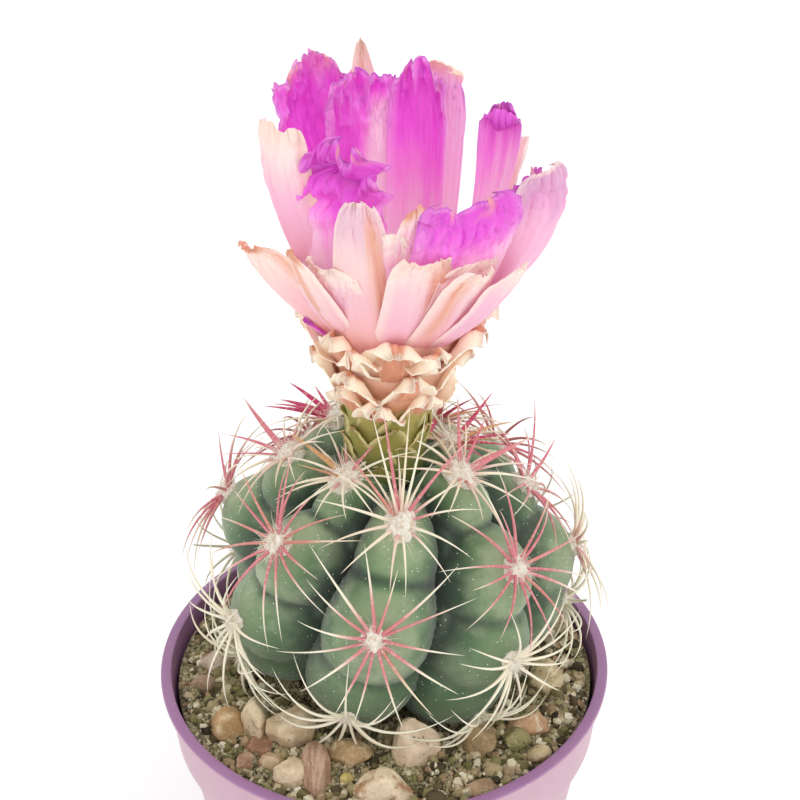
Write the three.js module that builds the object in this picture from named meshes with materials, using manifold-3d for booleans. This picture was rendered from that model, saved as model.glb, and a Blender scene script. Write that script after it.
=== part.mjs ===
// A round ribbed cactus with one fading flower, growing in gravelly soil in a small nursery pot.
// Millimetres, +Z up. The origin is the centre of the pot's foot, on the surface it stands on.
// Azimuths are in degrees: 0 faces -Y, the front, and 90 faces +X. Polar angles start at straight up.
import * as THREE from 'three';
import { mergeVertices } from 'three/addons/utils/BufferGeometryUtils.js';
import Module from 'manifold-3d';

const wasm = await Module();
wasm.setup();

// ---------------------------------------------------------------- driving dimensions

// Air left between two pieces that touch on the real plant.
const gap = 0.3;

// The pot: an 85 mm round nursery pot with a straight collar under its lip.
const potHeight = 75;
const rimRadius = 42.5;
const rimWidth = 2.6;
const rimThickness = 1.2;
const collarHeight = 13.5;
const collarRadius = 40.9;
const collarTaper = 1.0;
const collarStep = 1.5;
const potWall = 1.0;
const footRadius = 30.2;
const footWidth = 2.0;
const footHeight = 1.6;
const footSlope = 0.8;
const floorThickness = 1.4;
const drainHoles = 6;
const drainHoleRadius = 3;
const drainHoleSides = 10;
const drainCircleRadius = 18;
const potSides = 32;

// The soil and the stones that lie in its top.
const soilTop = 70.5;
const soilHeap = 1.2;
const soilCornerRound = 0.4;
const heapFootRadius = 34;
const heapTopRadius = 26;
const stoneSwelling = 0.1;

// The cactus body: a flattened ball of tubercles that stand in eight ribs.
const bodyCentre = new THREE.Vector3(2, 4, 93);
const coreRadius = 27;
const tubercleReach = 21.8;
const tubercleRadius = 11.2;
const bodyFlattening = 0.85;
const seamSoftness = 0.6;
const ribTwist = 0.25;
const twistFreePolar = 60;
const shoulderPolar = 4;
const bodyColumns = 36;
const bodyRows = 24;

// Each rib's azimuth where its twist is zero, and the polar angles of the areoles down it.
const ribs = [
  { azimuth: -103, areoles: [35, 67, 100] },
  { azimuth: -52, areoles: [22, 52, 89, 112] },
  { azimuth: -3, areoles: [36, 73, 113] },
  { azimuth: 46, areoles: [26, 61, 94, 122] },
  { azimuth: 95, areoles: [21, 54, 82, 104] },
  { azimuth: 136, areoles: [27, 62, 97] },
  { azimuth: 174, areoles: [38, 74, 109] },
  { azimuth: -146, areoles: [27, 60, 94] },
];

// The woolly areole on each tubercle and its spines.
const padRadius = 2.1;
const padHeight = 1.3;
const spinesPerAreole = 9;
const spineStart = 1.1;
const spineLength = 14.5;
const spineRadius = 0.44;
const spineRise = 26;
const spineBend = 0.42;
const spineUnevenness = 0.16;
const centralLength = 13;
const centralStoutness = 1.3;
const centralLean = 0.5;
const centralPolarLimit = 58;

// The flower: a scaly tube on the crown, leaning slightly, with petals round its mouth.
const tubeFoot = new THREE.Vector3(0.2, 3.2, 115.5);
const tubeLean = 5;
const tubeMouthHeight = 30.5;
const tubeMouthRadius = 12.2;
const tubeSides = 16;
const petalThickness = 0.7;
const scaleThickness = 0.9;
const scaleBulge = 1.6;

// How every petal, tepal and scale is curved: edges curled in by an angle in radians, the share of
// its full width at the foot, and where along its length it is widest and starts to round off.
const bladeCup = 0.8;
const bladeFootWidth = 0.45;
const bladeWidestAt = 0.62;
const bladeRoundsFrom = 0.72;
const bladeTipWidth = 0.25;

// Rings of dry scales on the tube: height up the tube, tube radius there, count, length and turn.
const scaleRings = [
  { height: 15, radius: 8.6, count: 5, length: 7.5, turn: 10 },
  { height: 20, radius: 9.8, count: 5, length: 8.5, turn: 40 },
  { height: 25, radius: 11.2, count: 6, length: 9, turn: 5 },
];

// Petals are magenta and tepals are the pale outer ones. Each leads from the mouth to its tip, and
// faces away from the flower's axis unless a facing azimuth is given.
const petals = [
  { name: 'petal_back_left', tip: [-12, 13, 186.5], width: 16, foot: 7.2, bulge: 2.5, facing: -140 },
  { name: 'petal_back', tip: [-3, 15.5, 185], width: 13, foot: 6.2, bulge: 2 },
  { name: 'petal_back_right', tip: [6.4, 13, 187], width: 14, foot: 7.2, bulge: 2.5 },
  { name: 'petal_right_back', tip: [19.5, 9.5, 180], width: 9, foot: 6.2, bulge: 1, facing: 140 },
  { name: 'petal_left_folded', tip: [-9.5, -4, 177], width: 16, foot: 6.4, bulge: 4, facing: -35 },
  { name: 'petal_front_right', tip: [19, -12, 170.5], width: 24, foot: 7, bulge: 5, facing: 30 },
  { name: 'petal_right', tip: [26.5, 1.5, 173], width: 11, foot: 7.4, bulge: 8, facing: 60 },
];
const tepals = [
  { name: 'tepal_left', tip: [-16.5, -2, 181], width: 14, foot: 9.6, bulge: 5, facing: -45 },
  { name: 'tepal_back_right', tip: [11.5, 15.5, 187], width: 10, foot: 9.6, bulge: 2.5 },
  { name: 'tepal_back', tip: [-2.5, 19.5, 187.5], width: 9, foot: 9.6, bulge: 2.5 },
  { name: 'tepal_right_back', tip: [24.5, 11.5, 174], width: 8, foot: 9.2, bulge: 2 },
  { name: 'tepal_right', tip: [28.5, -3.5, 171], width: 12, foot: 9.8, bulge: 11, facing: 50 },
  { name: 'tepal_front_left', tip: [-4, -13, 172], width: 10, foot: 9.9, bulge: 3 },
  { name: 'tepal_front', tip: [6.2, -12.5, 170.5], width: 11, foot: 9.5, bulge: 2.5 },
  { name: 'tepal_front_right', tip: [14.5, -16, 162.5], width: 9, foot: 10.2, bulge: 2.5 },
  { name: 'tepal_right_low', tip: [21.5, -11, 159], width: 10, foot: 10.4, bulge: 3 },
  { name: 'tepal_left_low', tip: [-21, -4, 162.5], width: 8, foot: 10.4, bulge: 3.5, facing: -50 },
  { name: 'tepal_left_inner', tip: [-14.5, -9.5, 162], width: 8, foot: 10, bulge: 2.5 },
];

// Stones: centre on the soil, three half sizes, and turn about the vertical.
const stones = [
  { name: 'stone_pitted_front', place: [6, -24.2, 72.6], half: [4.6, 3.6, 4.2], turn: 20 },
  { name: 'stone_oval_front', place: [-0.2, -33.6, 72.4], half: [5.4, 3.9, 3.3], turn: 8 },
  { name: 'stone_brown_oval', place: [-6.6, -25.4, 72.0], half: [3.9, 2.9, 2.4], turn: -12 },
  { name: 'stone_streaked_long', place: [-12.6, -28.9, 72.0], half: [2.5, 5.2, 2.5], turn: 12 },
  { name: 'stone_pale_cube', place: [-17.6, -29.4, 71.8], half: [2.6, 2.5, 2.4], turn: 25 },
  { name: 'stone_porous_left', place: [-17.8, -20.2, 72.4], half: [4.3, 3.3, 4.0], turn: 30 },
  { name: 'stone_teardrop_left', place: [-24.6, -17.6, 72.4], half: [2.8, 3.1, 4.2], turn: -10 },
  { name: 'stone_amber_left', place: [-30.4, -16.0, 71.7], half: [3.0, 3.7, 2.9], turn: 15 },
  { name: 'stone_red_right', place: [26, -17.8, 72.2], half: [4.4, 2.9, 2.3], turn: -8 },
  { name: 'stone_tall_right', place: [30.2, -6.6, 72.6], half: [3.3, 3.0, 4.2], turn: 30 },
];

// ---------------------------------------------------------------- helpers

const radians = THREE.MathUtils.degToRad;
const up = new THREE.Vector3(0, 0, 1);

// A repeatable number from 0 to 1 for the n-th small irregularity.
function scatter(n) {
  const swing = Math.sin(n * 12.9898) * 43758.5453;
  return swing - Math.floor(swing);
}

// The unit vector at an azimuth and a polar angle, both in degrees.
function direction(azimuth, polar) {
  const a = radians(azimuth);
  const p = radians(polar);
  return new THREE.Vector3(Math.sin(p) * Math.sin(a), -Math.sin(p) * Math.cos(a), Math.cos(p));
}

// A closed solid from a three.js geometry: seams merged and faces that have no area dropped.
function toSolid(geometry) {
  const bare = geometry.clone();
  bare.deleteAttribute('normal');
  bare.deleteAttribute('uv');
  const merged = mergeVertices(bare, 1e-4);
  const triangles = [];
  for (let i = 0; i < merged.index.count; i += 3) {
    const corners = [0, 1, 2].map((k) => merged.index.getX(i + k));
    if (new Set(corners).size === 3) triangles.push(...corners);
  }
  return new wasm.Manifold(new wasm.Mesh({
    numProp: 3,
    vertProperties: new Float32Array(merged.attributes.position.array),
    triVerts: new Uint32Array(triangles),
  }));
}

// Moves every vertex of a geometry to where the rule says.
function reshape(geometry, rule) {
  const positions = geometry.attributes.position;
  const vertex = new THREE.Vector3();
  for (let i = 0; i < positions.count; i += 1) {
    vertex.fromBufferAttribute(positions, i);
    const moved = rule(vertex);
    positions.setXYZ(i, moved.x, moved.y, moved.z);
  }
  return geometry;
}

// The piece of a cut solid that has the most material.
function largestPiece(solid) {
  const pieces = solid.decompose();
  return pieces.reduce((best, piece) => (piece.volume() > best.volume() ? piece : best));
}

// Cuts the tools away and keeps the main piece.
function trim(solid, tools) {
  return largestPiece(tools.reduce((rest, tool) => rest.subtract(tool), solid));
}

const plant = new THREE.Group();

// Adds a named sub-part to the model.
function addPart(name, solid, color, roughness) {
  const { vertProperties, triVerts } = solid.getMesh();
  const geometry = new THREE.BufferGeometry();
  geometry.setAttribute('position', new THREE.BufferAttribute(new Float32Array(vertProperties), 3));
  geometry.setIndex(new THREE.BufferAttribute(new Uint32Array(triVerts), 1));
  geometry.computeVertexNormals();
  const material = new THREE.MeshStandardMaterial({ color, roughness, metalness: 0 });
  const mesh = new THREE.Mesh(geometry, material);
  mesh.name = name;
  plant.add(mesh);
}

// ---------------------------------------------------------------- pot and soil

const collarBottom = potHeight - collarHeight;
const collarFootRadius = collarRadius - collarTaper;
const wallTopRadius = collarFootRadius - collarStep;
const floorTop = footHeight + floorThickness;

// A solid turned about the vertical axis from points of radius and height.
function turned(points, segments) {
  const profile = points.map(([radius, height]) => new THREE.Vector2(radius, height));
  return toSolid(new THREE.LatheGeometry(profile, segments).rotateX(Math.PI / 2));
}

// Outer radius of the tapered wall at a height.
function wallRadius(height) {
  return THREE.MathUtils.lerp(footRadius, wallTopRadius, height / collarBottom);
}

// The pot in one piece: foot ring, tapered wall, step, collar and flat lip, with drain holes.
function potSolid() {
  const shell = turned([
    [0, footHeight],
    [footRadius - footWidth - footSlope, footHeight],
    [footRadius - footWidth, 0],
    [footRadius, 0],
    [wallTopRadius, collarBottom],
    [collarFootRadius, collarBottom + collarStep / 3],
    [collarRadius, potHeight - rimThickness],
    [rimRadius, potHeight - rimThickness],
    [rimRadius, potHeight],
    [rimRadius - rimWidth, potHeight],
    [collarFootRadius - potWall, collarBottom + potWall],
    [wallTopRadius - potWall, collarBottom],
    [wallRadius(floorTop) - potWall, floorTop],
    [0, floorTop],
  ], potSides);
  const holes = [];
  for (let i = 0; i < drainHoles; i += 1) {
    const place = direction((360 / drainHoles) * i, 90).multiplyScalar(drainCircleRadius);
    const hole = new THREE.CylinderGeometry(
      drainHoleRadius, drainHoleRadius, 4 * floorTop, drainHoleSides,
    );
    holes.push(toSolid(hole.rotateX(Math.PI / 2).translate(place.x, place.y, floorTop)));
  }
  return trim(shell, holes);
}

// The soil fills the pot to just under the rim and is heaped slightly towards the plant.
function soilSolid(grow = 0) {
  const clear = potWall + gap;
  return turned([
    [0, floorTop + gap],
    [wallRadius(floorTop) - clear - soilCornerRound, floorTop + gap],
    [wallTopRadius - clear, collarBottom],
    [collarFootRadius - clear, collarBottom + clear],
    [collarFootRadius - clear, soilTop + grow],
    [heapFootRadius, soilTop + soilHeap / 3 + grow],
    [heapTopRadius, soilTop + soilHeap + grow],
    [0, soilTop + soilHeap + grow],
  ], potSides);
}

// ---------------------------------------------------------------- cactus body

// Every areole: its place down a rib, with its own azimuth after the rib's twist.
const areoles = ribs.flatMap((rib, ribIndex) => rib.areoles.map((polar, tier) => ({
  name: `spine_cluster_rib${ribIndex + 1}_tier${tier + 1}`,
  azimuth: rib.azimuth - ribTwist * (polar - twistFreePolar),
  polar,
})));

const tubercleDirections = areoles.map(({ azimuth, polar }) => direction(azimuth, polar + shoulderPolar));

// Squashes a point about the body's centre and places it.
function placeOnBody(offset) {
  return new THREE.Vector3(offset.x, offset.y, offset.z * bodyFlattening).add(bodyCentre);
}

// Distance from the centre to the skin: a soft maximum over the core and each tubercle's ball.
function skinDistance(heading) {
  let total = Math.exp(coreRadius / seamSoftness);
  for (const tubercle of tubercleDirections) {
    const along = heading.dot(tubercle) * tubercleReach;
    const aside = tubercleReach ** 2 - along ** 2;
    const inside = tubercleRadius ** 2 - aside;
    if (along > 0 && inside > 0) total += Math.exp((along + Math.sqrt(inside)) / seamSoftness);
  }
  return seamSoftness * Math.log(total);
}

// The body, grown outward by the given amount where it is used as a cutting tool.
function bodySolid(grow = 0) {
  const ball = new THREE.SphereGeometry(1, bodyColumns, bodyRows).rotateX(Math.PI / 2);
  return toSolid(reshape(ball, (vertex) => {
    const heading = vertex.clone().normalize();
    return placeOnBody(heading.multiplyScalar(skinDistance(heading) + grow));
  }));
}

// ---------------------------------------------------------------- spines

// One spine: a thin cone that leaves the areole and bends back towards the body.
function spineSolid(root, outward, normal, length, radius, bend) {
  const across = new THREE.Vector3().crossVectors(outward, normal).normalize();
  const cone = new THREE.ConeGeometry(1, 1, 3, 2);
  const rise = Math.sin(radians(spineRise));
  const run = Math.cos(radians(spineRise));
  return toSolid(reshape(cone, (vertex) => {
    const t = vertex.y + 0.5;
    return root.clone()
      .addScaledVector(outward, length * run * t)
      .addScaledVector(normal, length * (rise * t - bend * t * t) + vertex.z * radius)
      .addScaledVector(across, vertex.x * radius);
  }));
}

// An areole's woolly pad with its ring of spines and, high on the body, one stouter central spine.
function clusterSolid(areole, index, grow = 0) {
  const heading = direction(areole.azimuth, areole.polar);
  const skin = placeOnBody(heading.clone().multiplyScalar(skinDistance(heading)));
  const normal = new THREE.Vector3(heading.x, heading.y, heading.z / bodyFlattening).normalize();
  const east = new THREE.Vector3().crossVectors(up, normal).normalize();
  const north = new THREE.Vector3().crossVectors(normal, east);
  const pad = new THREE.SphereGeometry(1, 6, 4)
    .scale(padRadius + grow, padRadius + grow, padHeight + grow)
    .applyMatrix4(new THREE.Matrix4().makeBasis(east, north, normal))
    .translate(skin.x, skin.y, skin.z);
  const root = skin.clone().addScaledVector(normal, padHeight / 3);
  const radius = spineRadius + grow;
  const aroundPad = (turns) => east.clone()
    .multiplyScalar(Math.cos(2 * Math.PI * turns))
    .addScaledVector(north, Math.sin(2 * Math.PI * turns));
  const parts = [toSolid(pad)];
  for (let i = 0; i < spinesPerAreole; i += 1) {
    const jitter = scatter(index * spinesPerAreole + i + 1) - 0.5;
    const outward = aroundPad((i + jitter / 2) / spinesPerAreole);
    const length = spineLength * (1 + spineUnevenness * jitter) + grow;
    const start = root.clone().addScaledVector(outward, spineStart);
    parts.push(spineSolid(start, outward, normal, length, radius, spineBend));
  }
  if (areole.polar < centralPolarLimit) {
    const aside = aroundPad(scatter(index + 0.5));
    const stout = normal.clone().addScaledVector(aside, centralLean).normalize();
    const length = centralLength + grow;
    parts.push(spineSolid(root, stout, aside.negate(), length, centralStoutness * radius, 0));
  }
  return wasm.Manifold.union(parts);
}

// ---------------------------------------------------------------- flower

const tubeAxis = new THREE.Vector3(Math.sin(radians(tubeLean)), 0, Math.cos(radians(tubeLean)));
const mouth = tubeFoot.clone().addScaledVector(tubeAxis, tubeMouthHeight);

// A curved blade from foot to tip. It runs along a quadratic curve that is pushed outward by the
// bulge. Its width swells and then rounds off, and its edges curl towards the flower's axis.
function bladeSolid({ foot, tip, outward, facing, width, bulge, thickness, columns, steps }) {
  const middle = foot.clone().lerp(tip, 0.5).addScaledVector(outward, bulge);
  const midrib = new THREE.QuadraticBezierCurve3(foot, middle, tip);
  const blade = new THREE.BoxGeometry(2, 1, 1, columns, steps, 1);
  const side = new THREE.Vector3().crossVectors(facing, up).normalize();
  return toSolid(reshape(blade, (vertex) => {
    const t = vertex.y + 0.5;
    const rise = Math.sin((Math.PI / 2) * Math.min(t / bladeWidestAt, 1));
    const swell = THREE.MathUtils.lerp(bladeFootWidth, 1, rise);
    const past = Math.max(t - bladeRoundsFrom, 0) / (1 - bladeRoundsFrom);
    const round = Math.max(Math.sqrt(1 - past ** 2), bladeTipWidth);
    const halfWidth = 0.5 * width * swell * round;
    const turn = vertex.x * bladeCup;
    const across = side.clone().multiplyScalar((halfWidth * Math.sin(turn)) / bladeCup);
    const heading = midrib.getTangent(t);
    const inward = new THREE.Vector3().crossVectors(heading, side).normalize();
    if (inward.dot(facing) > 0) inward.negate();
    const lift = (halfWidth * (1 - Math.cos(turn))) / bladeCup;
    return midrib.getPoint(t).add(across).addScaledVector(inward, lift + vertex.z * thickness);
  }));
}

// A petal or tepal between the mouth of the tube and its tip.
function petalSolid({ tip, width, foot, bulge, facing }, grow = 0) {
  const end = new THREE.Vector3(...tip);
  const outward = end.clone().sub(mouth).setZ(0).normalize();
  return bladeSolid({
    foot: mouth.clone().addScaledVector(outward, foot),
    tip: end.addScaledVector(up, grow),
    outward,
    facing: facing === undefined ? outward : direction(facing, 90),
    width: width + 2 * grow,
    bulge,
    thickness: petalThickness + 2 * grow,
    columns: 3,
    steps: 5,
  });
}

// The green base and the tube above it, with its rings of dry pointed scales grown on.
function tubeSolid(grow = 0) {
  const tube = turned([
    [0, -1],
    [6.6 + grow, -1],
    [7.4 + grow, 6],
    [7.2 + grow, 13],
    [8.8 + grow, 15.5],
    [9.8 + grow, 20.5],
    [11.4 + grow, 26],
    [tubeMouthRadius + grow, tubeMouthHeight + grow],
    [tubeMouthRadius - 1.6, tubeMouthHeight + 0.4 + grow],
    [4, tubeMouthHeight - 1 + grow],
    [0, tubeMouthHeight - 1.2 + grow],
  ], tubeSides).rotate([0, tubeLean, 0]).translate(tubeFoot.toArray());
  const scales = scaleRings.flatMap(({ height, radius, count, length, turn }) => {
    const centre = tubeFoot.clone().addScaledVector(tubeAxis, height);
    return Array.from({ length: count }, (_, i) => {
      const outward = direction(turn + (360 / count) * i, 90);
      const foot = centre.clone().addScaledVector(outward, radius - 2 * scaleThickness);
      const reach = length * (0.4 + 0.15 * scatter(height + i));
      const tip = foot.clone().addScaledVector(outward, reach).addScaledVector(up, 0.75 * length + grow);
      return bladeSolid({
        foot,
        tip,
        outward,
        facing: outward,
        width: 0.85 * length + 2 * grow,
        bulge: scaleBulge,
        thickness: scaleThickness + 2 * grow,
        columns: 2,
        steps: 2,
      });
    });
  });
  return wasm.Manifold.union([tube, ...scales]);
}

// ---------------------------------------------------------------- stones

// A worn stone: a coarse ball pressed into its three half sizes with a few low swellings.
function stoneSolid({ place, half, turn }, index, grow = 0) {
  const ball = new THREE.IcosahedronGeometry(1, 1);
  const size = new THREE.Vector3(...half).addScalar(grow);
  const centre = new THREE.Vector3(...place);
  return toSolid(reshape(ball, (vertex) => {
    const wave = Math.sin(2.3 * vertex.x + index) * Math.cos(2.9 * vertex.y - 2 * index);
    return vertex.clone()
      .multiplyScalar(1 + stoneSwelling * wave)
      .multiply(size)
      .applyAxisAngle(up, radians(turn))
      .add(centre);
  }));
}

// ---------------------------------------------------------------- assembly

const bodyTool = bodySolid(gap);
const tubeTool = tubeSolid(gap);
const soilTool = soilSolid(gap);
const stoneTools = stones.map((stone, i) => stoneSolid(stone, i, gap));

addPart('pot', potSolid(), '#c9a0cf', 0.42);
addPart('soil', trim(soilSolid(), [bodyTool, ...stoneTools]), '#8a7f63', 0.95);
addPart('cactus_body', bodySolid(), '#4f7f66', 0.55);
addPart('flower_tube', trim(tubeSolid(), [bodyTool]), '#d8b08c', 0.7);

stones.forEach((stone, i) => {
  const earlier = stoneTools.slice(0, i);
  addPart(stone.name, trim(stoneSolid(stone, i), [bodyTool, ...earlier]), '#c2ab8c', 0.8);
});

const blades = [...petals, ...tepals];
const bladeTools = blades.map((blade) => petalSolid(blade, gap));
blades.forEach((blade, i) => {
  const color = i < petals.length ? '#c43fc9' : '#eec3c4';
  addPart(blade.name, trim(petalSolid(blade), [tubeTool, ...bladeTools.slice(0, i)]), color, 0.6);
});

const clusterTools = areoles.map((areole, i) => clusterSolid(areole, i, gap));
areoles.forEach((areole, i) => {
  const neighbours = [bodyTool, tubeTool, soilTool, ...stoneTools, ...clusterTools.slice(0, i)];
  addPart(areole.name, trim(clusterSolid(areole, i), neighbours), '#e6a3a6', 0.5);
});

export default plant;
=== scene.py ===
"""A potted round cactus with one fading flower, detailed piece by piece over its fixed frame.

Metres, +Z up. The origin is the centre of the pot's foot, on the surface it stands on.
Azimuths are in degrees: 0 faces -Y, the front, and 90 faces +X. Polar angles start at straight up.
"""

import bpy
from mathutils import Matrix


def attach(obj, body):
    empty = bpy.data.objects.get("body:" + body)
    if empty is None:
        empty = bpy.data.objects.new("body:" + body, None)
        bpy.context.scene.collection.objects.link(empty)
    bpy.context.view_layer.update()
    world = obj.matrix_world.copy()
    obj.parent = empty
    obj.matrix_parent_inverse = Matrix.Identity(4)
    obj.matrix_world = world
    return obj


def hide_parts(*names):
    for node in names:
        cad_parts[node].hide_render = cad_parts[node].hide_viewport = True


bl_info = {
    "name": "Potted round cactus",
    "version": (1, 0, 0),
    "blender": (4, 5, 0),
    "location": "3D View > Sidebar > Cactus",
    "description": "Builds a potted round cactus in flower, piece by piece, and its stage",
    "category": "Add Mesh",
}

import bpy
import numpy as np
from bpy.props import FloatProperty, FloatVectorProperty, IntProperty, PointerProperty
from mathutils import Matrix

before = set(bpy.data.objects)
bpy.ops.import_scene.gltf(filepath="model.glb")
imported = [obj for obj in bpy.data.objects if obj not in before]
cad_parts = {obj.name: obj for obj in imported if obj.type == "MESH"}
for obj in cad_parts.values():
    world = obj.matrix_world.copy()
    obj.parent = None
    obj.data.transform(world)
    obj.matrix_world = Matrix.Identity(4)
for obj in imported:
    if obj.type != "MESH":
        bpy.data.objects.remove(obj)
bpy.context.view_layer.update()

MM = 0.001
UP = np.array([0.0, 0.0, 1.0])

# ---------------------------------------------------------------- the part's fixed numbers

# Pot profile and soil, as radii and heights.
FOOT_WIDTH = 2.0 * MM
FOOT_HEIGHT = 1.6 * MM
FOOT_SLOPE = 0.8 * MM
FLOOR_TOP = 3.0 * MM
POT_WALL = 1.0 * MM
COLLAR_HEIGHT = 13.5 * MM
COLLAR_RADIUS = 41.5 * MM
COLLAR_TAPER = 1.0 * MM
COLLAR_STEP = 1.5 * MM
RIM_WIDTH = 2.0 * MM
RIM_THICKNESS = 1.2 * MM
DRAIN_HOLES = 6
DRAIN_HOLE_RADIUS = 3.0 * MM
DRAIN_CIRCLE_RADIUS = 18.0 * MM
SOIL_TOP = 71.3 * MM
SOIL_HEAP = 0.6 * MM
SOIL_RADIUS = 39.4 * MM
HEAP_RADIUS = 26.0 * MM

# The body is a flattened ball of tubercles that stand in eight ribs. Each rib has the azimuth where
# its twist is zero, and the polar angles of the areoles down it.
BODY_CENTRE = np.array([2.0, 4.0, 93.0]) * MM
BODY_FLATTENING = 0.85
RIB_TWIST = 0.25
TWIST_FREE_POLAR = 60
SHOULDER_POLAR = 4
RIBS = [
    (-103, [35, 67, 100]),
    (-52, [22, 52, 89, 112]),
    (-3, [36, 73, 113]),
    (46, [26, 61, 94, 122]),
    (95, [21, 54, 82, 104]),
    (136, [27, 62, 97]),
    (174, [38, 74, 109]),
    (-146, [27, 60, 94]),
]

# The flower tube stands on the crown and leans a little to the right.
TUBE_FOOT = np.array([0.2, 3.2, 115.5]) * MM
TUBE_LEAN = 5
TUBE_MOUTH_HEIGHT = 30.5 * MM

# ---------------------------------------------------------------- sizes and colours to change


def screen(red, green, blue):
    """Linear colour of a screen colour from 0 to 255, by the standard two-part screen curve."""
    shares = [level / 255 for level in (red, green, blue)]
    return tuple(s / 12.92 if s <= 0.04045 else ((s + 0.055) / 1.055) ** 2.4 for s in shares)


def length(name, description, millimetres):
    """A size property in metres, with its default given in millimetres."""
    return FloatProperty(
        name=name,
        description=description,
        subtype="DISTANCE",
        unit="LENGTH",
        min=0.0,
        precision=5,
        default=millimetres * MM,
    )


def colour(name, description, red, green, blue):
    """A colour property, with its default given as a screen colour."""
    return FloatVectorProperty(
        name=name,
        description=description,
        subtype="COLOR",
        size=3,
        min=0.0,
        max=1.0,
        default=screen(red, green, blue),
    )


class PotLook(bpy.types.PropertyGroup):
    """Sizes and colours of the nursery pot."""

    height: length("Height", "Height of the pot from foot to lip", 75)
    rim_radius: length("Rim radius", "Outer radius of the flat lip", 42.5)
    foot_radius: length("Foot radius", "Outer radius of the foot ring", 30.2)
    edge_round: length("Edge rounding", "Radius that rounds off each moulded edge", 0.35)
    wall: colour("Wall", "Colour of the thin pale wall", 194, 154, 170)
    lip: colour("Lip", "Colour of the thicker lip and the inside", 168, 124, 160)


class SoilLook(bpy.types.PropertyGroup):
    """Sizes and colours of the gritty soil."""

    roughness_height: length("Lumpiness", "Height of the lumps in the soil's top", 1.0)
    grains: IntProperty(
        name="Grains", description="Number of grit grains on the soil", min=0, default=5600
    )
    pebbles: IntProperty(
        name="Pebbles", description="Number of small pebbles on the soil", min=0, default=240
    )
    earth: colour("Earth", "Main colour of the soil", 168, 156, 116)
    # The dark earth colour stands partly for dark grains and partly for painted shade in the soil's
    # crevices.
    dark: colour("Dark earth", "Colour of the soil's hollows", 54, 46, 32)
    moss: colour("Moss", "Colour of the greenish film on the soil", 132, 134, 84)


class BodyLook(bpy.types.PropertyGroup):
    """Sizes and colours of the cactus body."""

    core_radius: length("Core radius", "Radius of the ball under the tubercles", 24.0)
    crest_radius: length("Crest radius", "Distance from the body's centre to a tubercle's top", 33.0)
    tubercle_radius: length("Tubercle radius", "Radius of the largest tubercles", 13.0)
    groove: length("Groove depth", "Extra depth of the grooves between the ribs", 7.0)
    seam: length("Seam softness", "How far two tubercles melt together", 0.2)
    # The skin colours run from valley to bloom by the open value. The valley is partly the seams' own
    # green and partly painted shade. The bloom is partly real wax and partly painted highlight.
    skin: colour("Skin", "Colour of the open skin", 88, 120, 76)
    bloom: colour("Bloom", "Colour of the waxy bloom on the crests", 172, 186, 150)
    valley: colour("Valley", "Colour down in the seams", 34, 52, 38)


class SpineLook(bpy.types.PropertyGroup):
    """Sizes and colours of the areoles and their spines."""

    radials: IntProperty(
        name="Radial spines", description="Spines round each areole", min=3, default=13
    )
    spine_length: length("Spine length", "Length of a middle areole's radial spine", 18.0)
    spine_radius: length("Spine radius", "Radius of a radial spine at its root", 0.34)
    pad_radius: length("Pad radius", "Radius of a middle areole's woolly pad", 2.1)
    pad_height: length("Pad height", "Height of a middle areole's woolly pad", 1.4)
    cream: colour("Cream", "Colour of the spine tips and of old spines", 248, 240, 216)
    rose: colour("Rose", "Colour of the spine roots", 212, 116, 128)
    crimson: colour("Crimson", "Colour of the flat young spines", 196, 22, 92)
    ochre: colour("Ochre", "Colour of the ageing flat spines", 206, 164, 96)
    wool: colour("Wool", "Colour of the woolly pads", 240, 234, 220)


class FlowerLook(bpy.types.PropertyGroup):
    """Sizes and colours of the flower."""

    petal_thickness: length("Petal thickness", "Thickness of a petal", 0.28)
    scale_thickness: length("Scale thickness", "Thickness of a dry scale", 0.35)
    crumple: length("Crumple", "Height of the crumples at a petal's tip", 1.3)
    magenta: colour("Magenta", "Deep colour of the petals", 238, 96, 220)
    violet: colour("Violet", "Colour of the petals' creases and edges", 170, 64, 176)
    pink: colour("Pink", "Colour of the petals' lower parts", 248, 188, 226)
    blush: colour("Blush", "Pale pink of the outer tepals", 246, 188, 196)
    cream: colour("Cream", "Cream of the tepals' margins and the scales", 252, 232, 218)
    peach: colour("Peach", "Orange-brown of stripes and dry tips", 230, 162, 134)
    brown: colour("Brown", "Brown of the driest scale tips", 150, 100, 84)
    green: colour("Green", "Green of the flower's base", 146, 140, 66)


class StageLook(bpy.types.PropertyGroup):
    """Colours and brightness of the floor and the light."""

    floor: colour("Floor", "Colour of the floor", 254, 254, 254)
    sky: FloatProperty(name="Sky", description="Strength of the all-round light", default=0.97)
    key: FloatProperty(name="Key light", description="Strength of the large soft light", default=0.48)


# ---------------------------------------------------------------- numbers and noise

HASH_STEP = np.array([12.9898, 78.233, 37.719])
HASH_SPREAD = 43758.5453


def ease(share):
    """Smooth step: clips to 0..1 and returns 3 s^2 - 2 s^3."""
    clipped = np.clip(share, 0.0, 1.0)
    return clipped * clipped * (3 - 2 * clipped)


def unit(vectors):
    """Vectors divided by their lengths."""
    return vectors / np.maximum(np.linalg.norm(vectors, axis=-1, keepdims=True), 1e-12)


def noise(points, seed):
    """Smooth noise from -1 to 1. Each whole-number corner of space gets a hashed number, the
    broken part of a large sine, and the eight corners round a point are blended by the ease curve."""
    cell = np.floor(points)
    fade = ease(points - cell)
    total = np.zeros(points.shape[:-1])
    for corner in np.ndindex(2, 2, 2):
        swing = np.sin((cell + corner) @ HASH_STEP + seed) * HASH_SPREAD
        weight = np.prod(np.where(corner, fade, 1 - fade), axis=-1)
        total += weight * (2 * (swing - np.floor(swing)) - 1)
    return total


def layered(points, seed, layers=3):
    """Noise plus the same noise at each doubling of scale and halving of height."""
    return sum(noise(points * 2**n, seed + n) / 2**n for n in range(layers))


def creased(points, seed):
    """Sharp ridges from 0 to 1: one minus the distance of noise from zero, squared."""
    return (1 - np.abs(noise(points, seed))) ** 2


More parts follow.
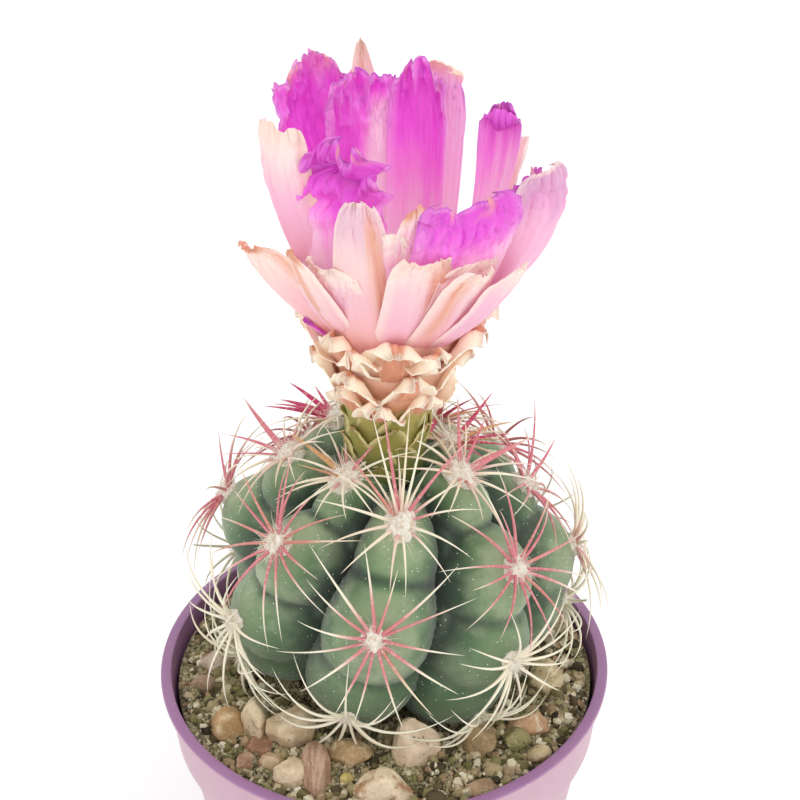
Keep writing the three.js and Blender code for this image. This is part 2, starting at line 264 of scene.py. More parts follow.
def heading(azimuth, polar):
    """Unit vectors at azimuths and polar angles in degrees."""
    a, p = np.broadcast_arrays(np.radians(azimuth), np.radians(polar))
    return np.stack([np.sin(p) * np.sin(a), -np.sin(p) * np.cos(a), np.cos(p)], axis=-1)


def compass(count):
    """Level unit vectors, evenly spread all round."""
    return heading(np.linspace(0, 360, count, endpoint=False), 90)


def spots(x, y, z):
    """Points from three coordinates of any shapes that go together."""
    return np.stack(np.broadcast_arrays(x, y, z), axis=-1)


# ---------------------------------------------------------------- surfaces


class Surface:
    """Points, lists of equal-cornered faces, named values per point and one finish number per face."""

    def __init__(self, points, faces, values=None, finish=0):
        self.points = points.reshape(-1, 3)
        self.faces = faces
        self.values = {name: np.ravel(v) for name, v in (values or {}).items()}
        self.finishes = [np.full(len(f), finish) for f in faces]

    def outward(self):
        """Turns every face round if the enclosed volume, summed from a fan of each face, is negative."""
        volume = 0.0
        for face in self.faces:
            corners = self.points[face]
            for k in range(1, face.shape[1] - 1):
                cross = np.cross(corners[:, k], corners[:, k + 1])
                volume += np.sum(corners[:, 0] * cross)
        if volume < 0:
            self.faces = [face[:, ::-1] for face in self.faces]
        return self


def joined(surfaces):
    """One surface that holds the points, faces and values of several."""
    offsets = np.cumsum([0] + [len(s.points) for s in surfaces])
    whole = Surface(
        np.concatenate([s.points for s in surfaces]),
        [face + offset for s, offset in zip(surfaces, offsets) for face in s.faces],
    )
    whole.finishes = [finish for s in surfaces for finish in s.finishes]
    names = sorted({name for s in surfaces for name in s.values})
    for name in names:
        parts = [s.values.get(name, np.zeros(len(s.points))) for s in surfaces]
        whole.values[name] = np.concatenate(parts)
    return whole


def tubes(rings, start, end, values=None, finish=0):
    """Closed surfaces over rings of points, shaped (count, rings, points, 3), each with a pole at
    both ends, shaped (count, 3). Quads join neighbouring rings and triangles fan from the poles."""
    count, rows, columns, _ = rings.shape
    step = rows * columns + 2
    index = np.arange(rows * columns).reshape(rows, columns)
    after = np.roll(index, -1, axis=1)
    quads = np.stack([index[:-1], after[:-1], after[1:], index[1:]], axis=-1).reshape(-1, 4)
    first = np.full(columns, rows * columns)
    fan_start = np.stack([first, after[0], index[0]], axis=-1)
    fan_end = np.stack([first + 1, index[-1], after[-1]], axis=-1)
    fans = np.concatenate([fan_start, fan_end])
    shift = (np.arange(count) * step)[:, None, None]
    points = np.concatenate([rings.reshape(count, -1, 3), start[:, None], end[:, None]], axis=1)
    spread = {}
    for name, value in (values or {}).items():
        body = np.broadcast_to(value, rings.shape[:3]).reshape(count, -1)
        spread[name] = np.concatenate([body, body[:, :1], body[:, -1:]], axis=1)
    faces = [(quads + shift).reshape(-1, 4), (fans + shift).reshape(-1, 3)]
    return Surface(points, faces, spread, finish).outward()


def turned(profile, columns, values=None):
    """A profile of (radius, height) rows carried round +Z. Its first and last rows lie on the axis
    and become the poles."""
    around = np.linspace(0, 2 * np.pi, columns, endpoint=False)
    ring = np.stack([np.cos(around), np.sin(around), np.zeros(columns)], axis=-1)
    radius, height = profile[1:-1, 0], profile[1:-1, 1]
    rings = radius[:, None, None] * ring + height[:, None, None] * UP
    poles = profile[[0, -1], 1][:, None] * UP
    spread = {name: v[None, 1:-1, None] for name, v in (values or {}).items()}
    return tubes(rings[None], poles[:1], poles[1:], spread)


def rounded(profile, radius, steps=4):
    """A profile whose inner corners are rounded: each is replaced by a quadratic curve that starts
    and ends at the radius from the corner, or at 0.45 of the shorter edge."""
    back = profile[:-2] - profile[1:-1]
    ahead = profile[2:] - profile[1:-1]
    short = np.minimum(np.linalg.norm(back, axis=1), np.linalg.norm(ahead, axis=1))
    cut = np.minimum(radius, 0.45 * short)[:, None]
    t = np.linspace(0, 1, steps)[:, None, None]
    corner = profile[1:-1]
    curve = (1 - t) ** 2 * (corner + unit(back) * cut)
    curve = curve + 2 * t * (1 - t) * corner + t**2 * (corner + unit(ahead) * cut)
    middle = curve.transpose(1, 0, 2).reshape(-1, 2)
    return np.concatenate([profile[:1], middle, profile[-1:]])


def divided(profile, step):
    """A profile with each edge divided into two or more parts, about a step long where the edge
    allows it."""
    parts = [np.linspace(a, b, max(2, int(np.linalg.norm(b - a) / step)), endpoint=False)
             for a, b in zip(profile[:-1], profile[1:])]
    return np.concatenate([*parts, profile[-1:]])


def sheet(middle, thickness, values):
    """A thin closed sheet on a grid of middle points, shaped (rows, columns, 3). The two faces lie
    half the thickness to each side along the grid's normal, the cross product of its two steps,
    and a strip of quads joins them round the border."""
    rows, columns, _ = middle.shape
    normal = unit(np.cross(np.gradient(middle, axis=0), np.gradient(middle, axis=1)))
    half = 0.5 * np.broadcast_to(thickness, (rows, columns))[..., None]
    points = np.concatenate([(middle + normal * half).reshape(-1, 3),
                             (middle - normal * half).reshape(-1, 3)])
    index = np.arange(rows * columns).reshape(rows, columns)
    quads = np.stack([index[:-1, :-1], index[:-1, 1:], index[1:, 1:], index[1:, :-1]], axis=-1)
    quads = quads.reshape(-1, 4)
    border = np.concatenate([index[0, :-1], index[:-1, -1], index[-1, :0:-1], index[:0:-1, 0]])
    after = np.roll(border, -1)
    other = rows * columns
    strip = np.stack([border, border + other, after + other, after], axis=-1)
    faces = [quads, quads[:, ::-1] + other, strip]
    doubled = {name: np.tile(np.ravel(np.broadcast_to(v, (rows, columns))), 2)
               for name, v in values.items()}
    return Surface(points, faces, doubled).outward()


def ball_grid(rows, columns):
    """Unit directions on a grid of polar rings between the poles, shaped (rows, columns, 3)."""
    polar = np.linspace(0, 180, rows + 2)[1:-1, None]
    azimuth = np.linspace(0, 360, columns, endpoint=False)[None]
    return heading(azimuth, polar)


SHARP_ANGLE = np.radians(60)


def mesh_object(name, surface, finishes, flat=False):
    """The object of a surface, with its point values as attributes. Smooth shading stops at sharp
    edges."""
    mesh = bpy.data.meshes.new(name)
    corners = np.concatenate([face.ravel() for face in surface.faces])
    counts = np.concatenate([np.full(len(face), face.shape[1]) for face in surface.faces])
    mesh.vertices.add(len(surface.points))
    mesh.vertices.foreach_set("co", surface.points.astype(np.float32).ravel())
    mesh.loops.add(len(corners))
    mesh.loops.foreach_set("vertex_index", corners.astype(np.int32))
    mesh.polygons.add(len(counts))
    mesh.polygons.foreach_set("loop_start", (np.cumsum(counts) - counts).astype(np.int32))
    mesh.polygons.foreach_set("material_index", np.concatenate(surface.finishes).astype(np.int32))
    mesh.update(calc_edges=True)
    mesh.polygons.foreach_set("use_smooth", np.full(len(counts), not flat))
    mesh.set_sharp_from_angle(angle=SHARP_ANGLE)
    for value_name, value in surface.values.items():
        attribute = mesh.attributes.new(value_name, "FLOAT", "POINT")
        attribute.data.foreach_set("value", value.astype(np.float32))
    if mesh.validate():
        raise RuntimeError(f"{name}: the mesh was not valid")
    for finish in finishes:
        mesh.materials.append(finish)
    piece = bpy.data.objects.new(name, mesh)
    bpy.context.scene.collection.objects.link(piece)
    return piece


def add_piece(name, surface, finishes, nodes=(), flat=False):
    """Adds a surface as a piece that rides on the one body, and hides the frame's nodes that it
    stands for."""
    piece = mesh_object(name, surface, finishes, flat)
    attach(piece, "root")
    if nodes:
        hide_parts(*nodes)
    return piece


# ---------------------------------------------------------------- materials in node code


def arithmetic(operation, swapped=False):
    """A Tone's operator that adds one Math node, with its two operands swapped if asked."""

    def add_node(tone, *others):
        terms = (*others, tone) if swapped else (tone, *others)
        return tone.paint.node("Math", {"operation": operation}, dict(enumerate(terms)))

    return add_node


class Tone:
    """A node socket that arithmetic is written with."""

    def __init__(self, paint, socket):
        self.paint = paint
        self.socket = socket

    __add__ = __radd__ = arithmetic("ADD")
    __sub__ = arithmetic("SUBTRACT")
    __rsub__ = arithmetic("SUBTRACT", swapped=True)
    __mul__ = __rmul__ = arithmetic("MULTIPLY")
    __lt__ = arithmetic("LESS_THAN")
    __abs__ = arithmetic("ABSOLUTE")


class Paint:
    """The node tree of one material."""

    def __init__(self, name):
        self.material = bpy.data.materials.new(name)
        self.material.use_nodes = True
        self.tree = self.material.node_tree
        self.tree.nodes.clear()

    def node(self, kind, settings=None, sockets=None, output=0):
        """Adds a shader node, gives it its settings, fills its sockets with values or links, and
        returns one of its outputs. Colours are given as three numbers."""
        made = self.tree.nodes.new(f"ShaderNode{kind}")
        for setting, choice in (settings or {}).items():
            if setting == "stops":
                self.set_stops(made.color_ramp.elements, choice)
            else:
                setattr(made, setting, choice)
        for name, content in (sockets or {}).items():
            socket = made.inputs[name]
            if isinstance(content, Tone):
                self.tree.links.new(content.socket, socket)
            elif socket.type == "RGBA":
                socket.default_value = (*content, 1.0)
            else:
                socket.default_value = content
        return Tone(self, made.outputs[output]) if made.outputs else None

    @staticmethod
    def set_stops(elements, stops):
        """Gives a colour ramp its stops, each a position and a colour."""
        while len(elements) > 1:
            elements.remove(elements[-1])
        elements[0].position = stops[0][0]
        elements[0].color = (*stops[0][1], 1.0)
        for position, stop_colour in stops[1:]:
            elements.new(position).color = (*stop_colour, 1.0)

    def place(self, stretch=(1.0, 1.0, 1.0)):
        """Object coordinates, stretched along the axes."""
        spot = self.node("TexCoord", output="Object")
        return self.node("Mapping", {}, {"Vector": spot, "Scale": stretch})

    def value(self, name):
        """A value that the mesh carries on its points."""
        return self.node("Attribute", {"attribute_name": name}, output="Fac")

    def sheet_place(self, across, along):
        """A coordinate from the piece's own across and along values, each multiplied."""
        parts = {"X": self.value("across") * across, "Y": self.value("along") * along,
                 "Z": self.value("chance") * 37.0}
        return self.node("CombineXYZ", {}, parts)

    def noise(self, place, size, detail=3.0, roughness=0.55):
        """Noise from 0 to 1 with blotches of about the given size."""
        sockets = {"Vector": place, "Scale": 1 / size, "Detail": detail, "Roughness": roughness}
        return self.node("TexNoise", {}, sockets)

    def ramp(self, value, stops):
        """Colours blended between stops."""
        return self.node("ValToRGB", {"stops": stops}, {"Fac": value})

    def window(self, value, low, high):
        """Rises smoothly from 0 at the low value to 1 at the high one."""
        sockets = {"Value": value, "From Min": low, "From Max": high}
        return self.node("MapRange", {"interpolation_type": "SMOOTHSTEP"}, sockets)

    def mix(self, share, first, second):
        """Two colours mixed by a share."""
        sockets = {0: share, 6: first, 7: second}
        return self.node("Mix", {"data_type": "RGBA"}, sockets, output=2)

    def over(self, tone, *coats):
        """Lays colours over a tone one after another, each by its own share."""
        for share, coat in coats:
            tone = self.mix(share, tone, coat)
        return tone

    def specks(self, place, size, radius, share):
        """1 in small round specks: near the points of Voronoi cells of the given size, in the
        given share of the cells."""
        sockets = {"Vector": place, "Scale": 1 / size}
        distance = self.node("TexVoronoi", {}, sockets, output="Distance")
        cell_colour = self.node("TexVoronoi", {}, sockets, output="Color")
        chance = self.node("SeparateColor", {}, {"Color": cell_colour})
        return (distance < radius / size) * (chance < share)

    def bump(self, height, distance, strength=1.0):
        """Socket for a normal from a height of 0 to 1 over the given distance."""
        sockets = {"Height": height, "Distance": distance, "Strength": strength}
        return {"Normal": self.node("Bump", {}, sockets)}

    def finish(self, tone, roughness, *more):
        """Joins a Principled shader with this base colour, this roughness and more sets of sockets
        to the output, and returns the material."""
        sockets = {"Base Color": tone, "Roughness": roughness}
        for extra in more:
            sockets.update(extra)
        shader = self.node("BsdfPrincipled", {}, sockets)
        self.node("OutputMaterial", {}, {"Surface": shader})
        return self.material


def soft(weight, depth, tint=(1.0, 0.2, 0.1)):
    """Sockets that let a share of the light into a surface, down to a depth in mm."""
    return {"Subsurface Weight": weight, "Subsurface Scale": depth * MM, "Subsurface Radius": tint}


def glow(tone, strength):
    """Sockets that make a thin part shine a little, as if lit from behind."""
    return {"Emission Color": tone, "Emission Strength": strength}


def fuzz(weight, roughness):
    """Sockets for the pale sheen of wax or felt."""
    return {"Sheen Weight": weight, "Sheen Roughness": roughness}


def pot_plastic(look):
    """Thin moulded plastic: pale wall, purple lip and inside, faint cloudy flow and dust specks."""
    paint = Paint("pot plastic")
    place = paint.place()
    cloud = paint.noise(place, 9 * MM, 4.0)
    streak = paint.noise(paint.place((1.0, 1.0, 0.12)), 1.6 * MM, 3.0)
    grain = paint.noise(place, 0.25 * MM, 2.0)
    fine_dust = paint.specks(place, 1.7 * MM, 0.16 * MM, 0.3)
    dust = fine_dust + paint.specks(place, 4.0 * MM, 0.3 * MM, 0.25)
    tone = paint.over(
        look.wall,
        (cloud * 0.5, screen(228, 204, 210)),
        (streak * 0.16, screen(190, 142, 176)),
        (paint.value("lip"), paint.mix(cloud * 0.5, look.lip, screen(134, 84, 146))),
        (dust * 0.55, screen(214, 200, 186)),
    )
    return paint.finish(
        tone,
        0.36 + cloud * 0.16 + dust * 0.3,
        paint.bump(grain + streak * 0.8, 0.02 * MM, 0.5),
        soft(0.12, 1.5, (1.0, 0.8, 1.0)),
    )


def soil_finish(look):
    """Grey-olive grit: two sizes of mottle, dark hollows, partly painted shade, pale specks, partly
    painted highlight, and a greenish film in patches.
    """
    paint = Paint("soil")
    place = paint.place()
    grain = paint.noise(place, 0.7 * MM, 5.0, 0.7)
    mottle = paint.noise(place, 2.6 * MM, 4.0, 0.6)
    patches = paint.noise(place, 7 * MM, 3.0)
    # From dark to pale by noise: partly the earth's own grains, partly painted shade in crevices and
    # painted highlights on grains.
    tone = paint.ramp(grain, [
        (0.4, look.dark),
        (0.49, look.earth),
        (0.58, screen(210, 196, 160)),
        (0.7, screen(244, 234, 206)),
    ])
    tone = paint.over(
        tone,
        # Dark mottle: partly the earth's colour, partly painted crevice shade.
        (paint.window(mottle, 0.46, 0.66) * 0.8, look.dark),
        (paint.window(patches, 0.48, 0.66) * 0.55, look.moss),
    )
    return paint.finish(tone, 0.9 + grain * 0.1, paint.bump(grain, 0.35 * MM))


def grit_finish(look):
    """Loose grains in mixed mineral colours, picked by each grain's own chance value."""
    paint = Paint("grit")
    place = paint.place()
    fine = paint.noise(place, 0.5 * MM, 4.0, 0.65)
    patches = paint.noise(place, 7 * MM, 3.0)
    tone = paint.ramp(paint.value("chance"), [
        (0.0, screen(56, 46, 30)),
        (0.2, screen(110, 96, 66)),
        (0.36, screen(136, 130, 82)),
        (0.52, screen(188, 170, 130)),
        (0.68, screen(168, 136, 102)),
        (0.84, screen(226, 212, 176)),
        (1.0, screen(250, 242, 216)),
    ])
    tone = paint.over(
        tone,
        (paint.window(fine, 0.4, 0.75) * 0.4, look.dark),
        (paint.window(patches, 0.5, 0.7) * 0.3, look.moss),
    )
    return paint.finish(tone, 0.86 + fine * 0.1, paint.bump(fine, 0.12 * MM))


def stone_finish(name, stone):
    """Worn stone: two mineral colours in blotches, fine grain, dark pores and pale dusty flecks."""
    paint = Paint(f"stone {name}")
    place = paint.place()
    share = stone["share"]
    blotch = paint.noise(paint.place(stone["streaks"]), 3.2 * MM, 4.0, 0.6)
    grain = paint.noise(place, 0.5 * MM, 5.0, 0.7)
    pores = paint.specks(place, 1.5 * MM, 0.22 * MM, 0.5)
    tone = paint.over(
        daylit(stone["second"]),
        (paint.window(blotch, share - 0.1, share + 0.1), daylit(stone["main"])),
        (paint.window(grain, 0.52, 0.8) * 0.5, screen(96, 78, 58)),
        (paint.window(grain, 0.46, 0.28) * 0.5, screen(240, 228, 206)),
        (pores * 0.5, screen(96, 80, 62)),
        # Painted shade: the pitted stone's small holes are darkened.
        (paint.value("pit"), screen(64, 54, 44)),
    )
    return paint.finish(
        tone,
        0.72 + grain * 0.2,
        paint.bump(grain * 0.6 + blotch - pores * (0.6 + stone["pits"]), 0.3 * MM),
    )


def skin_finish(look):
    """Waxy blue-green skin: dark seams, partly the skin's own deeper green and partly painted shade,
    pale bloom on the crests, partly real wax and partly painted highlight, fine mottle and white specks.
    Low down it is a deeper green, painted shade of light from above."""
    paint = Paint("cactus skin")
    place = paint.place()
    patches = paint.noise(place, 8 * MM, 4.0)
    fine = paint.noise(place, 0.8 * MM, 5.0, 0.6)
    open_and_lit = paint.value("open")
    height = paint.node("SeparateXYZ", {}, {"Vector": place}, output="Z")
    # Painted shade: this mask darkens the skin towards the bottom, as under light from above. It does
    # not follow the skin's age.
    old = paint.window(height + (patches - 0.5) * 0.02, 0.104, 0.076)
    specks = paint.specks(place, 0.8 * MM, 0.11 * MM, 0.32)
    # From the seams to the crests: partly the skin's own colours, partly painted shade in seams and
    # grooves and painted light on crests and high points.
    tone = paint.ramp(open_and_lit, [
        (0.1, look.valley),
        (0.42, screen(44, 72, 46)),
        (0.7, look.skin),
        (0.94, screen(136, 158, 116)),
    ])
    tone = paint.over(
        tone,
        # Pale bloom in patches, strongest on the open crests: partly real wax, partly painted highlight.
        (paint.window(patches, 0.42, 0.66) * open_and_lit * 0.7, look.bloom),
        (old * 0.85, screen(56, 88, 48)),
        (paint.window(fine, 0.45, 0.8) * 0.22, screen(70, 98, 74)),
        (specks * 0.9, screen(236, 240, 222)),
    )
    return paint.finish(
        tone,
        0.52 + fine * 0.16,
        paint.bump(fine + patches * 0.6, 0.1 * MM, 0.6),
        soft(0.08, 1.2, (0.6, 1.0, 0.5)),
        fuzz(0.25, 0.6),
    )


def spine_finish(look):
    """Spines in rose from the root and cream towards the tip, as far as each one's own rose value,
    with crimson or ochre on the flat ones and faint rings."""
    paint = Paint("spines")
    along = paint.value("along")
    rose_share = paint.window(paint.value("rose") - along, -0.2, 0.2) * 0.92
    rings = paint.noise(paint.node("CombineXYZ", {}, {
        "X": along * 30.0,
        "Y": paint.value("chance") * 91.0,
    }), 1.0, 2.0)
    tone = paint.mix(rose_share, look.cream, look.rose)
    tone = paint.over(
        tone,
        (paint.value("crimson"), look.crimson),
        (paint.value("ochre"), look.ochre),
        (paint.window(rings, 0.5, 0.7) * 0.3, screen(250, 228, 214)),
    )
    return paint.finish(
        tone,
        0.34 + rings * 0.2,
        soft(0.15, 0.4),
        paint.bump(rings, 0.03 * MM, 0.5),
    )


def wool_finish(look):
    """Felted short wool: off-white with creamy and faintly rosy clots."""
    paint = Paint("areole wool")
    place = paint.place()
    clot = paint.noise(place, 0.7 * MM, 4.0, 0.7)
    tone = paint.ramp(clot, [
        (0.3, screen(206, 178, 150)),
        (0.5, look.wool),
        (0.75, screen(250, 247, 238)),
    ])
    return paint.finish(tone, 0.9 + clot * 0.1, paint.bump(clot, 0.12 * MM), fuzz(0.5, 0.5))


def petal_finish(look):
    """Wilting petal: pale pink foot, magenta blade, veins down it, violet creases in its crumples, pale
    ridges on the crumples, painted highlight, and deeper magenta in their hollows, painted shade, pale
    patches that are partly painted highlight, and dry peach bits on its torn edge. The deep value moves
    the magenta down, and the dusk value darkens it to violet towards the tip, which is straw as far as
    the scorch value."""
    paint = Paint("petal")
    along = paint.value("along")
    fold = paint.value("fold")
    margin = paint.value("margin")
    veins = paint.noise(paint.sheet_place(26.0, 1.6), 1.0, 4.0, 0.65)
    clouds = paint.noise(paint.sheet_place(3.0, 2.2), 1.0, 3.0)
    creases = paint.noise(paint.sheet_place(3.2, 4.5), 1.0, 2.0)
    depth = along + paint.value("deep") + (clouds - 0.5) * 0.4 + (veins - 0.5) * 0.2
    dusk = paint.window(along + (clouds - 0.5) * 0.4, 0.6, 0.92) * paint.value("dusk")
    crumpled = paint.window(along, 0.55, 0.95)
    line = paint.window(abs(creases - 0.5), 0.035, 0.0)
    withered = paint.window(along + (clouds - 0.5) * 0.1, 0.86, 0.95) * paint.value("scorch")
    tone = paint.ramp(depth, [
        (0.3, screen(253, 224, 238)),
        (0.5, look.pink),
        (0.62, screen(245, 146, 222)),
        (0.76, look.magenta),
        (0.94, screen(226, 84, 208)),
    ])
    tone = paint.over(
        tone,
        (paint.window(margin, 0.62, 0.95) * 0.4, screen(250, 196, 238)),
        # Pale patches by the clouds: partly a paler tone, partly painted highlight.
        (paint.window(clouds, 0.56, 0.74) * 0.4, screen(248, 176, 234)),
        (dusk, screen(180, 60, 168)),
        (line * crumpled * 0.45, look.violet),
        # Painted highlight on the crumples' ridges and painted shade in their hollows, by the fold
        # value.
        (paint.window(fold, 0.6, 1.0) * 0.4, screen(244, 172, 234)),
        (paint.window(fold, 0.42, 0.1) * 0.4, screen(204, 48, 186)),
        (paint.window(margin, 0.94, 1.0) * crumpled * 0.65, look.violet),
        (paint.value("dry") * 0.85, look.peach),
        (withered, screen(244, 206, 176)),
    )
    return paint.finish(
        tone,
        0.48 + veins * 0.2,
        paint.bump(veins + creases * 0.8, 0.12 * MM, 0.7),
        glow(tone, 0.13),
        soft(0.3, 1.2, (1.0, 0.5, 0.9)),
    )


def tepal_finish(look):
    """Pale outer tepal: blush blade, rosy in its lower part, cream margins, an orange-brown stripe
    down the line of its rib value, a dry tip, and mauve towards the tip as far as its dusk value."""
    paint = Paint("tepal")
    along = paint.value("along")
    veins = paint.noise(paint.sheet_place(20.0, 1.4), 1.0, 4.0, 0.65)
    clouds = paint.noise(paint.sheet_place(2.4, 2.0), 1.0, 3.0)
    rosy = paint.window(along + (clouds - 0.5) * 0.3, 1.0, 0.6) * paint.value("rosy")
    dusk = paint.window(along + (clouds - 0.5) * 0.3, 0.62, 0.9) * paint.value("dusk")
    away = abs(paint.value("across") - paint.value("rib"))
    stripe = paint.window(away + (veins - 0.5) * 0.4 + (clouds - 0.5) * 0.3, 0.46, 0.0)
    stripe = stripe * paint.window(along, 0.02, 0.4) * paint.window(along, 1.05, 0.8)
    dry = paint.window(along + (clouds - 0.5) * 0.24, 0.86, 1.0)
    tone = paint.ramp(along + (clouds - 0.5) * 0.4, [
        (0.1, screen(236, 172, 160)),
        (0.34, look.blush),
        (0.66, screen(249, 212, 206)),
        (0.98, look.cream),
    ])
    tone = paint.over(
        tone,
        (rosy * 0.85, screen(244, 180, 210)),
        (dusk, screen(206, 138, 190)),
        (stripe * 0.85, look.peach),
        (paint.window(paint.value("margin"), 0.72, 1.0) * 0.6, look.cream),
        (dry * paint.value("scorch"), look.peach),
        (paint.value("dry") * 0.5, look.brown),
        (paint.window(veins, 0.55, 0.8) * 0.25, screen(254, 240, 232)),
    )
    return paint.finish(
        tone,
        0.5 + veins * 0.2,
        paint.bump(veins + clouds * 0.4, 0.12 * MM, 0.6),
        glow(tone, 0.07),
        soft(0.3, 1.2, (1.0, 0.7, 0.7)),
    )


def scale_finish(look):
    """Dry papery scale: broad cream margins, a peach-brown middle and a brown sharp tip."""
    paint = Paint("papery scale")
    along = paint.value("along")
    veins = paint.noise(paint.sheet_place(14.0, 1.6), 1.0, 4.0, 0.7)
    clouds = paint.noise(paint.sheet_place(2.0, 2.0), 1.0, 3.0)
    margin = paint.value("margin")
    pale = paint.window(margin + (veins - 0.5) * 0.4 + (clouds - 0.5) * 0.6, 0.22, 0.66)
    middle = paint.mix(paint.window(clouds, 0.4, 0.62), look.peach, screen(204, 138, 106))
    dry = paint.window(along + (veins - 0.5) * 0.2, 0.86, 1.0)
    tone = paint.mix(pale, middle, screen(250, 232, 208))
    tone = paint.over(
        tone,
        (paint.window(along, 0.5, 0.1) * 0.4, screen(186, 124, 98)),
        (dry * 0.6, look.brown),
        (paint.window(veins, 0.5, 0.8) * 0.3, screen(252, 240, 222)),
        (paint.window(margin, 0.8, 1.0) * 0.5, screen(255, 244, 228)),
    )
    return paint.finish(
        tone,
        0.7 + veins * 0.2,
        paint.bump(veins, 0.1 * MM, 0.6),
        glow(tone, 0.07),
        soft(0.2, 0.8),
    )


def tube_finish(look):
    """The flower's base: fresh green low down, turning peach under the scales, with a fine bloom."""
    paint = Paint("flower tube")
    place = paint.place()
    patches = paint.noise(place, 2.4 * MM, 4.0)
    fine = paint.noise(place, 0.5 * MM, 4.0, 0.6)
    along = paint.value("along")
    tone = paint.ramp(along + (patches - 0.5) * 0.12, [
        (0.08, screen(92, 104, 48)),
        (0.3, look.green),
        (0.46, screen(176, 164, 92)),
        (0.56, screen(224, 170, 136)),
        (0.9, screen(244, 202, 186)),
    ])
    tone = paint.mix(paint.window(fine, 0.5, 0.8) * 0.3, tone, screen(190, 178, 110))
    return paint.finish(
        tone,
        0.5 + fine * 0.2,
        paint.bump(fine + patches, 0.15 * MM, 0.6),
        soft(0.2, 1.0),
    )


def scalelet_finish(look):
    """Small scale on the green base: green foot and a cream fringed edge."""
    paint = Paint("green scalelet")
    along = paint.value("along")
    veins = paint.noise(paint.sheet_place(14.0, 2.0), 1.0, 4.0, 0.7)
    pale = paint.window(paint.value("margin") + along * 0.5 + (veins - 0.5) * 0.4, 0.7, 1.35)
    tone = paint.mix(pale, look.green, screen(214, 200, 144))
    tone = paint.mix(paint.window(along, 0.86, 1.0) * 0.5, tone, look.brown)
    return paint.finish(tone, 0.6 + veins * 0.2, paint.bump(veins, 0.1 * MM, 0.7), soft(0.2, 0.8))


def filament_finish(look):
    """Withered filaments, pink at the root and straw at the tip, and an olive stigma."""
    paint = Paint("filaments")
    along = paint.value("along")
    tone = paint.ramp(along, [(0.1, look.pink), (0.7, screen(250, 230, 206))])
    tone = paint.mix(paint.value("stigma") * 0.8, tone, look.green)
    return paint.finish(tone, 0.6)


def anther_finish():
    """Dusty anthers, from straw to ochre by each one's own chance value."""
    paint = Paint("anthers")
    dust = paint.noise(paint.place(), 0.3 * MM, 2.0)
    tone = paint.ramp(paint.value("chance"), [
        (0.0, screen(196, 150, 84)),
        (0.5, screen(232, 200, 126)),
        (1.0, screen(246, 226, 168)),
    ])
    return paint.finish(tone, 0.85 + dust * 0.1)


def floor_finish(look):
    """Matt pale paper with the faintest cloud in it, that glows a little as if lit from below."""
    paint = Paint("floor")
    cloud = paint.noise(paint.place(), 0.6, 2.0)
    tone = paint.mix(cloud * 0.1, look.floor, screen(248, 248, 248))
    return paint.finish(tone, 0.9, glow((1.0, 1.0, 1.0), 0.06))


# ---------------------------------------------------------------- pot, soil and stones

POT_COLUMNS = 160
SOIL_RINGS = 130
SOIL_COLUMNS = 430
HOLE_SIDES = 24
LIP_BLEND = 0.8 * MM
POT_STEP = 2.0 * MM
LUMP_SIZE = 2.2 * MM
CLOD_SIZE = 1.3 * MM
CLOD_SHARE = 0.7
LUMP_LEVEL = 0.3
SOIL_EDGE = 1.5 * MM
SOIL_HUB = 0.4 * MM
# The soil's side and underside inside the pot, as radii and heights.
SOIL_SIDE = np.array([[39.4, 70.0], [38.9, 63.0], [37.1, 61.5], [29.2, 3.3], [0.4, 3.3]]) * MM


def pot_profile(look):
    """Radius and height round the pot's section, from the middle of the underside, up the outside,
    over the lip, and down inside to the middle of the floor."""
    collar_bottom = look.height - COLLAR_HEIGHT
    collar_foot = COLLAR_RADIUS - COLLAR_TAPER
    wall_top = collar_foot - COLLAR_STEP
    inner_floor = look.foot_radius + (wall_top - look.foot_radius) * FLOOR_TOP / collar_bottom
    return np.array([
        [0.0, FOOT_HEIGHT],
        [look.foot_radius - FOOT_WIDTH - FOOT_SLOPE, FOOT_HEIGHT],
        [look.foot_radius - FOOT_WIDTH, 0.0],
        [look.foot_radius, 0.0],
        [wall_top, collar_bottom],
        [collar_foot, collar_bottom + COLLAR_STEP / 3],
        [COLLAR_RADIUS, look.height - RIM_THICKNESS],
        [look.rim_radius, look.height - RIM_THICKNESS],
        [look.rim_radius, look.height],
        [look.rim_radius - RIM_WIDTH, look.height],
        [collar_foot - POT_WALL, collar_bottom + POT_WALL],
        [wall_top - POT_WALL, collar_bottom],
        [inner_floor - POT_WALL, FLOOR_TOP],
        [0.0, FLOOR_TOP],
    ])


def pot_surface(look):
    """The rounded section turned about +Z. The lip value is 1 on the lip and inside it."""
    profile = divided(rounded(pot_profile(look), look.edge_round), POT_STEP)
    run = np.arange(len(profile))
    top = run[np.argmax(profile[:, 1])]
    on_lip = ease((profile[:, 1] - look.height + LIP_BLEND) / LIP_BLEND)
    lip = np.where(run >= top, 1.0, on_lip)
    return turned(profile, POT_COLUMNS, {"lip": lip})


def drain_cutters():
    """Upright prisms through the pot's floor, one for each drain hole."""
    ring = DRAIN_HOLE_RADIUS * compass(HOLE_SIDES)
    centres = DRAIN_CIRCLE_RADIUS * compass(DRAIN_HOLES)
    heights = np.array([-FLOOR_TOP, 3 * FLOOR_TOP])
    rings = centres[:, None, None] + ring + heights[:, None, None] * UP
    return tubes(rings, centres + heights[0] * UP, centres + heights[1] * UP)


def cut_drain_holes(piece):
    """Cuts the drain holes out of the pot's floor."""
    cutter = add_piece("drain_cutter", drain_cutters(), [])
    cut = piece.modifiers.new("drain holes", "BOOLEAN")
    cut.operation = "DIFFERENCE"
    cut.solver = "EXACT"
    cut.object = cutter
    graph = bpy.context.evaluated_depsgraph_get()
    holed = bpy.data.meshes.new_from_object(piece.evaluated_get(graph))
    piece.modifiers.clear()
    whole = piece.data
    piece.data = holed
    bpy.data.meshes.remove(whole)
    bpy.data.objects.remove(cutter)


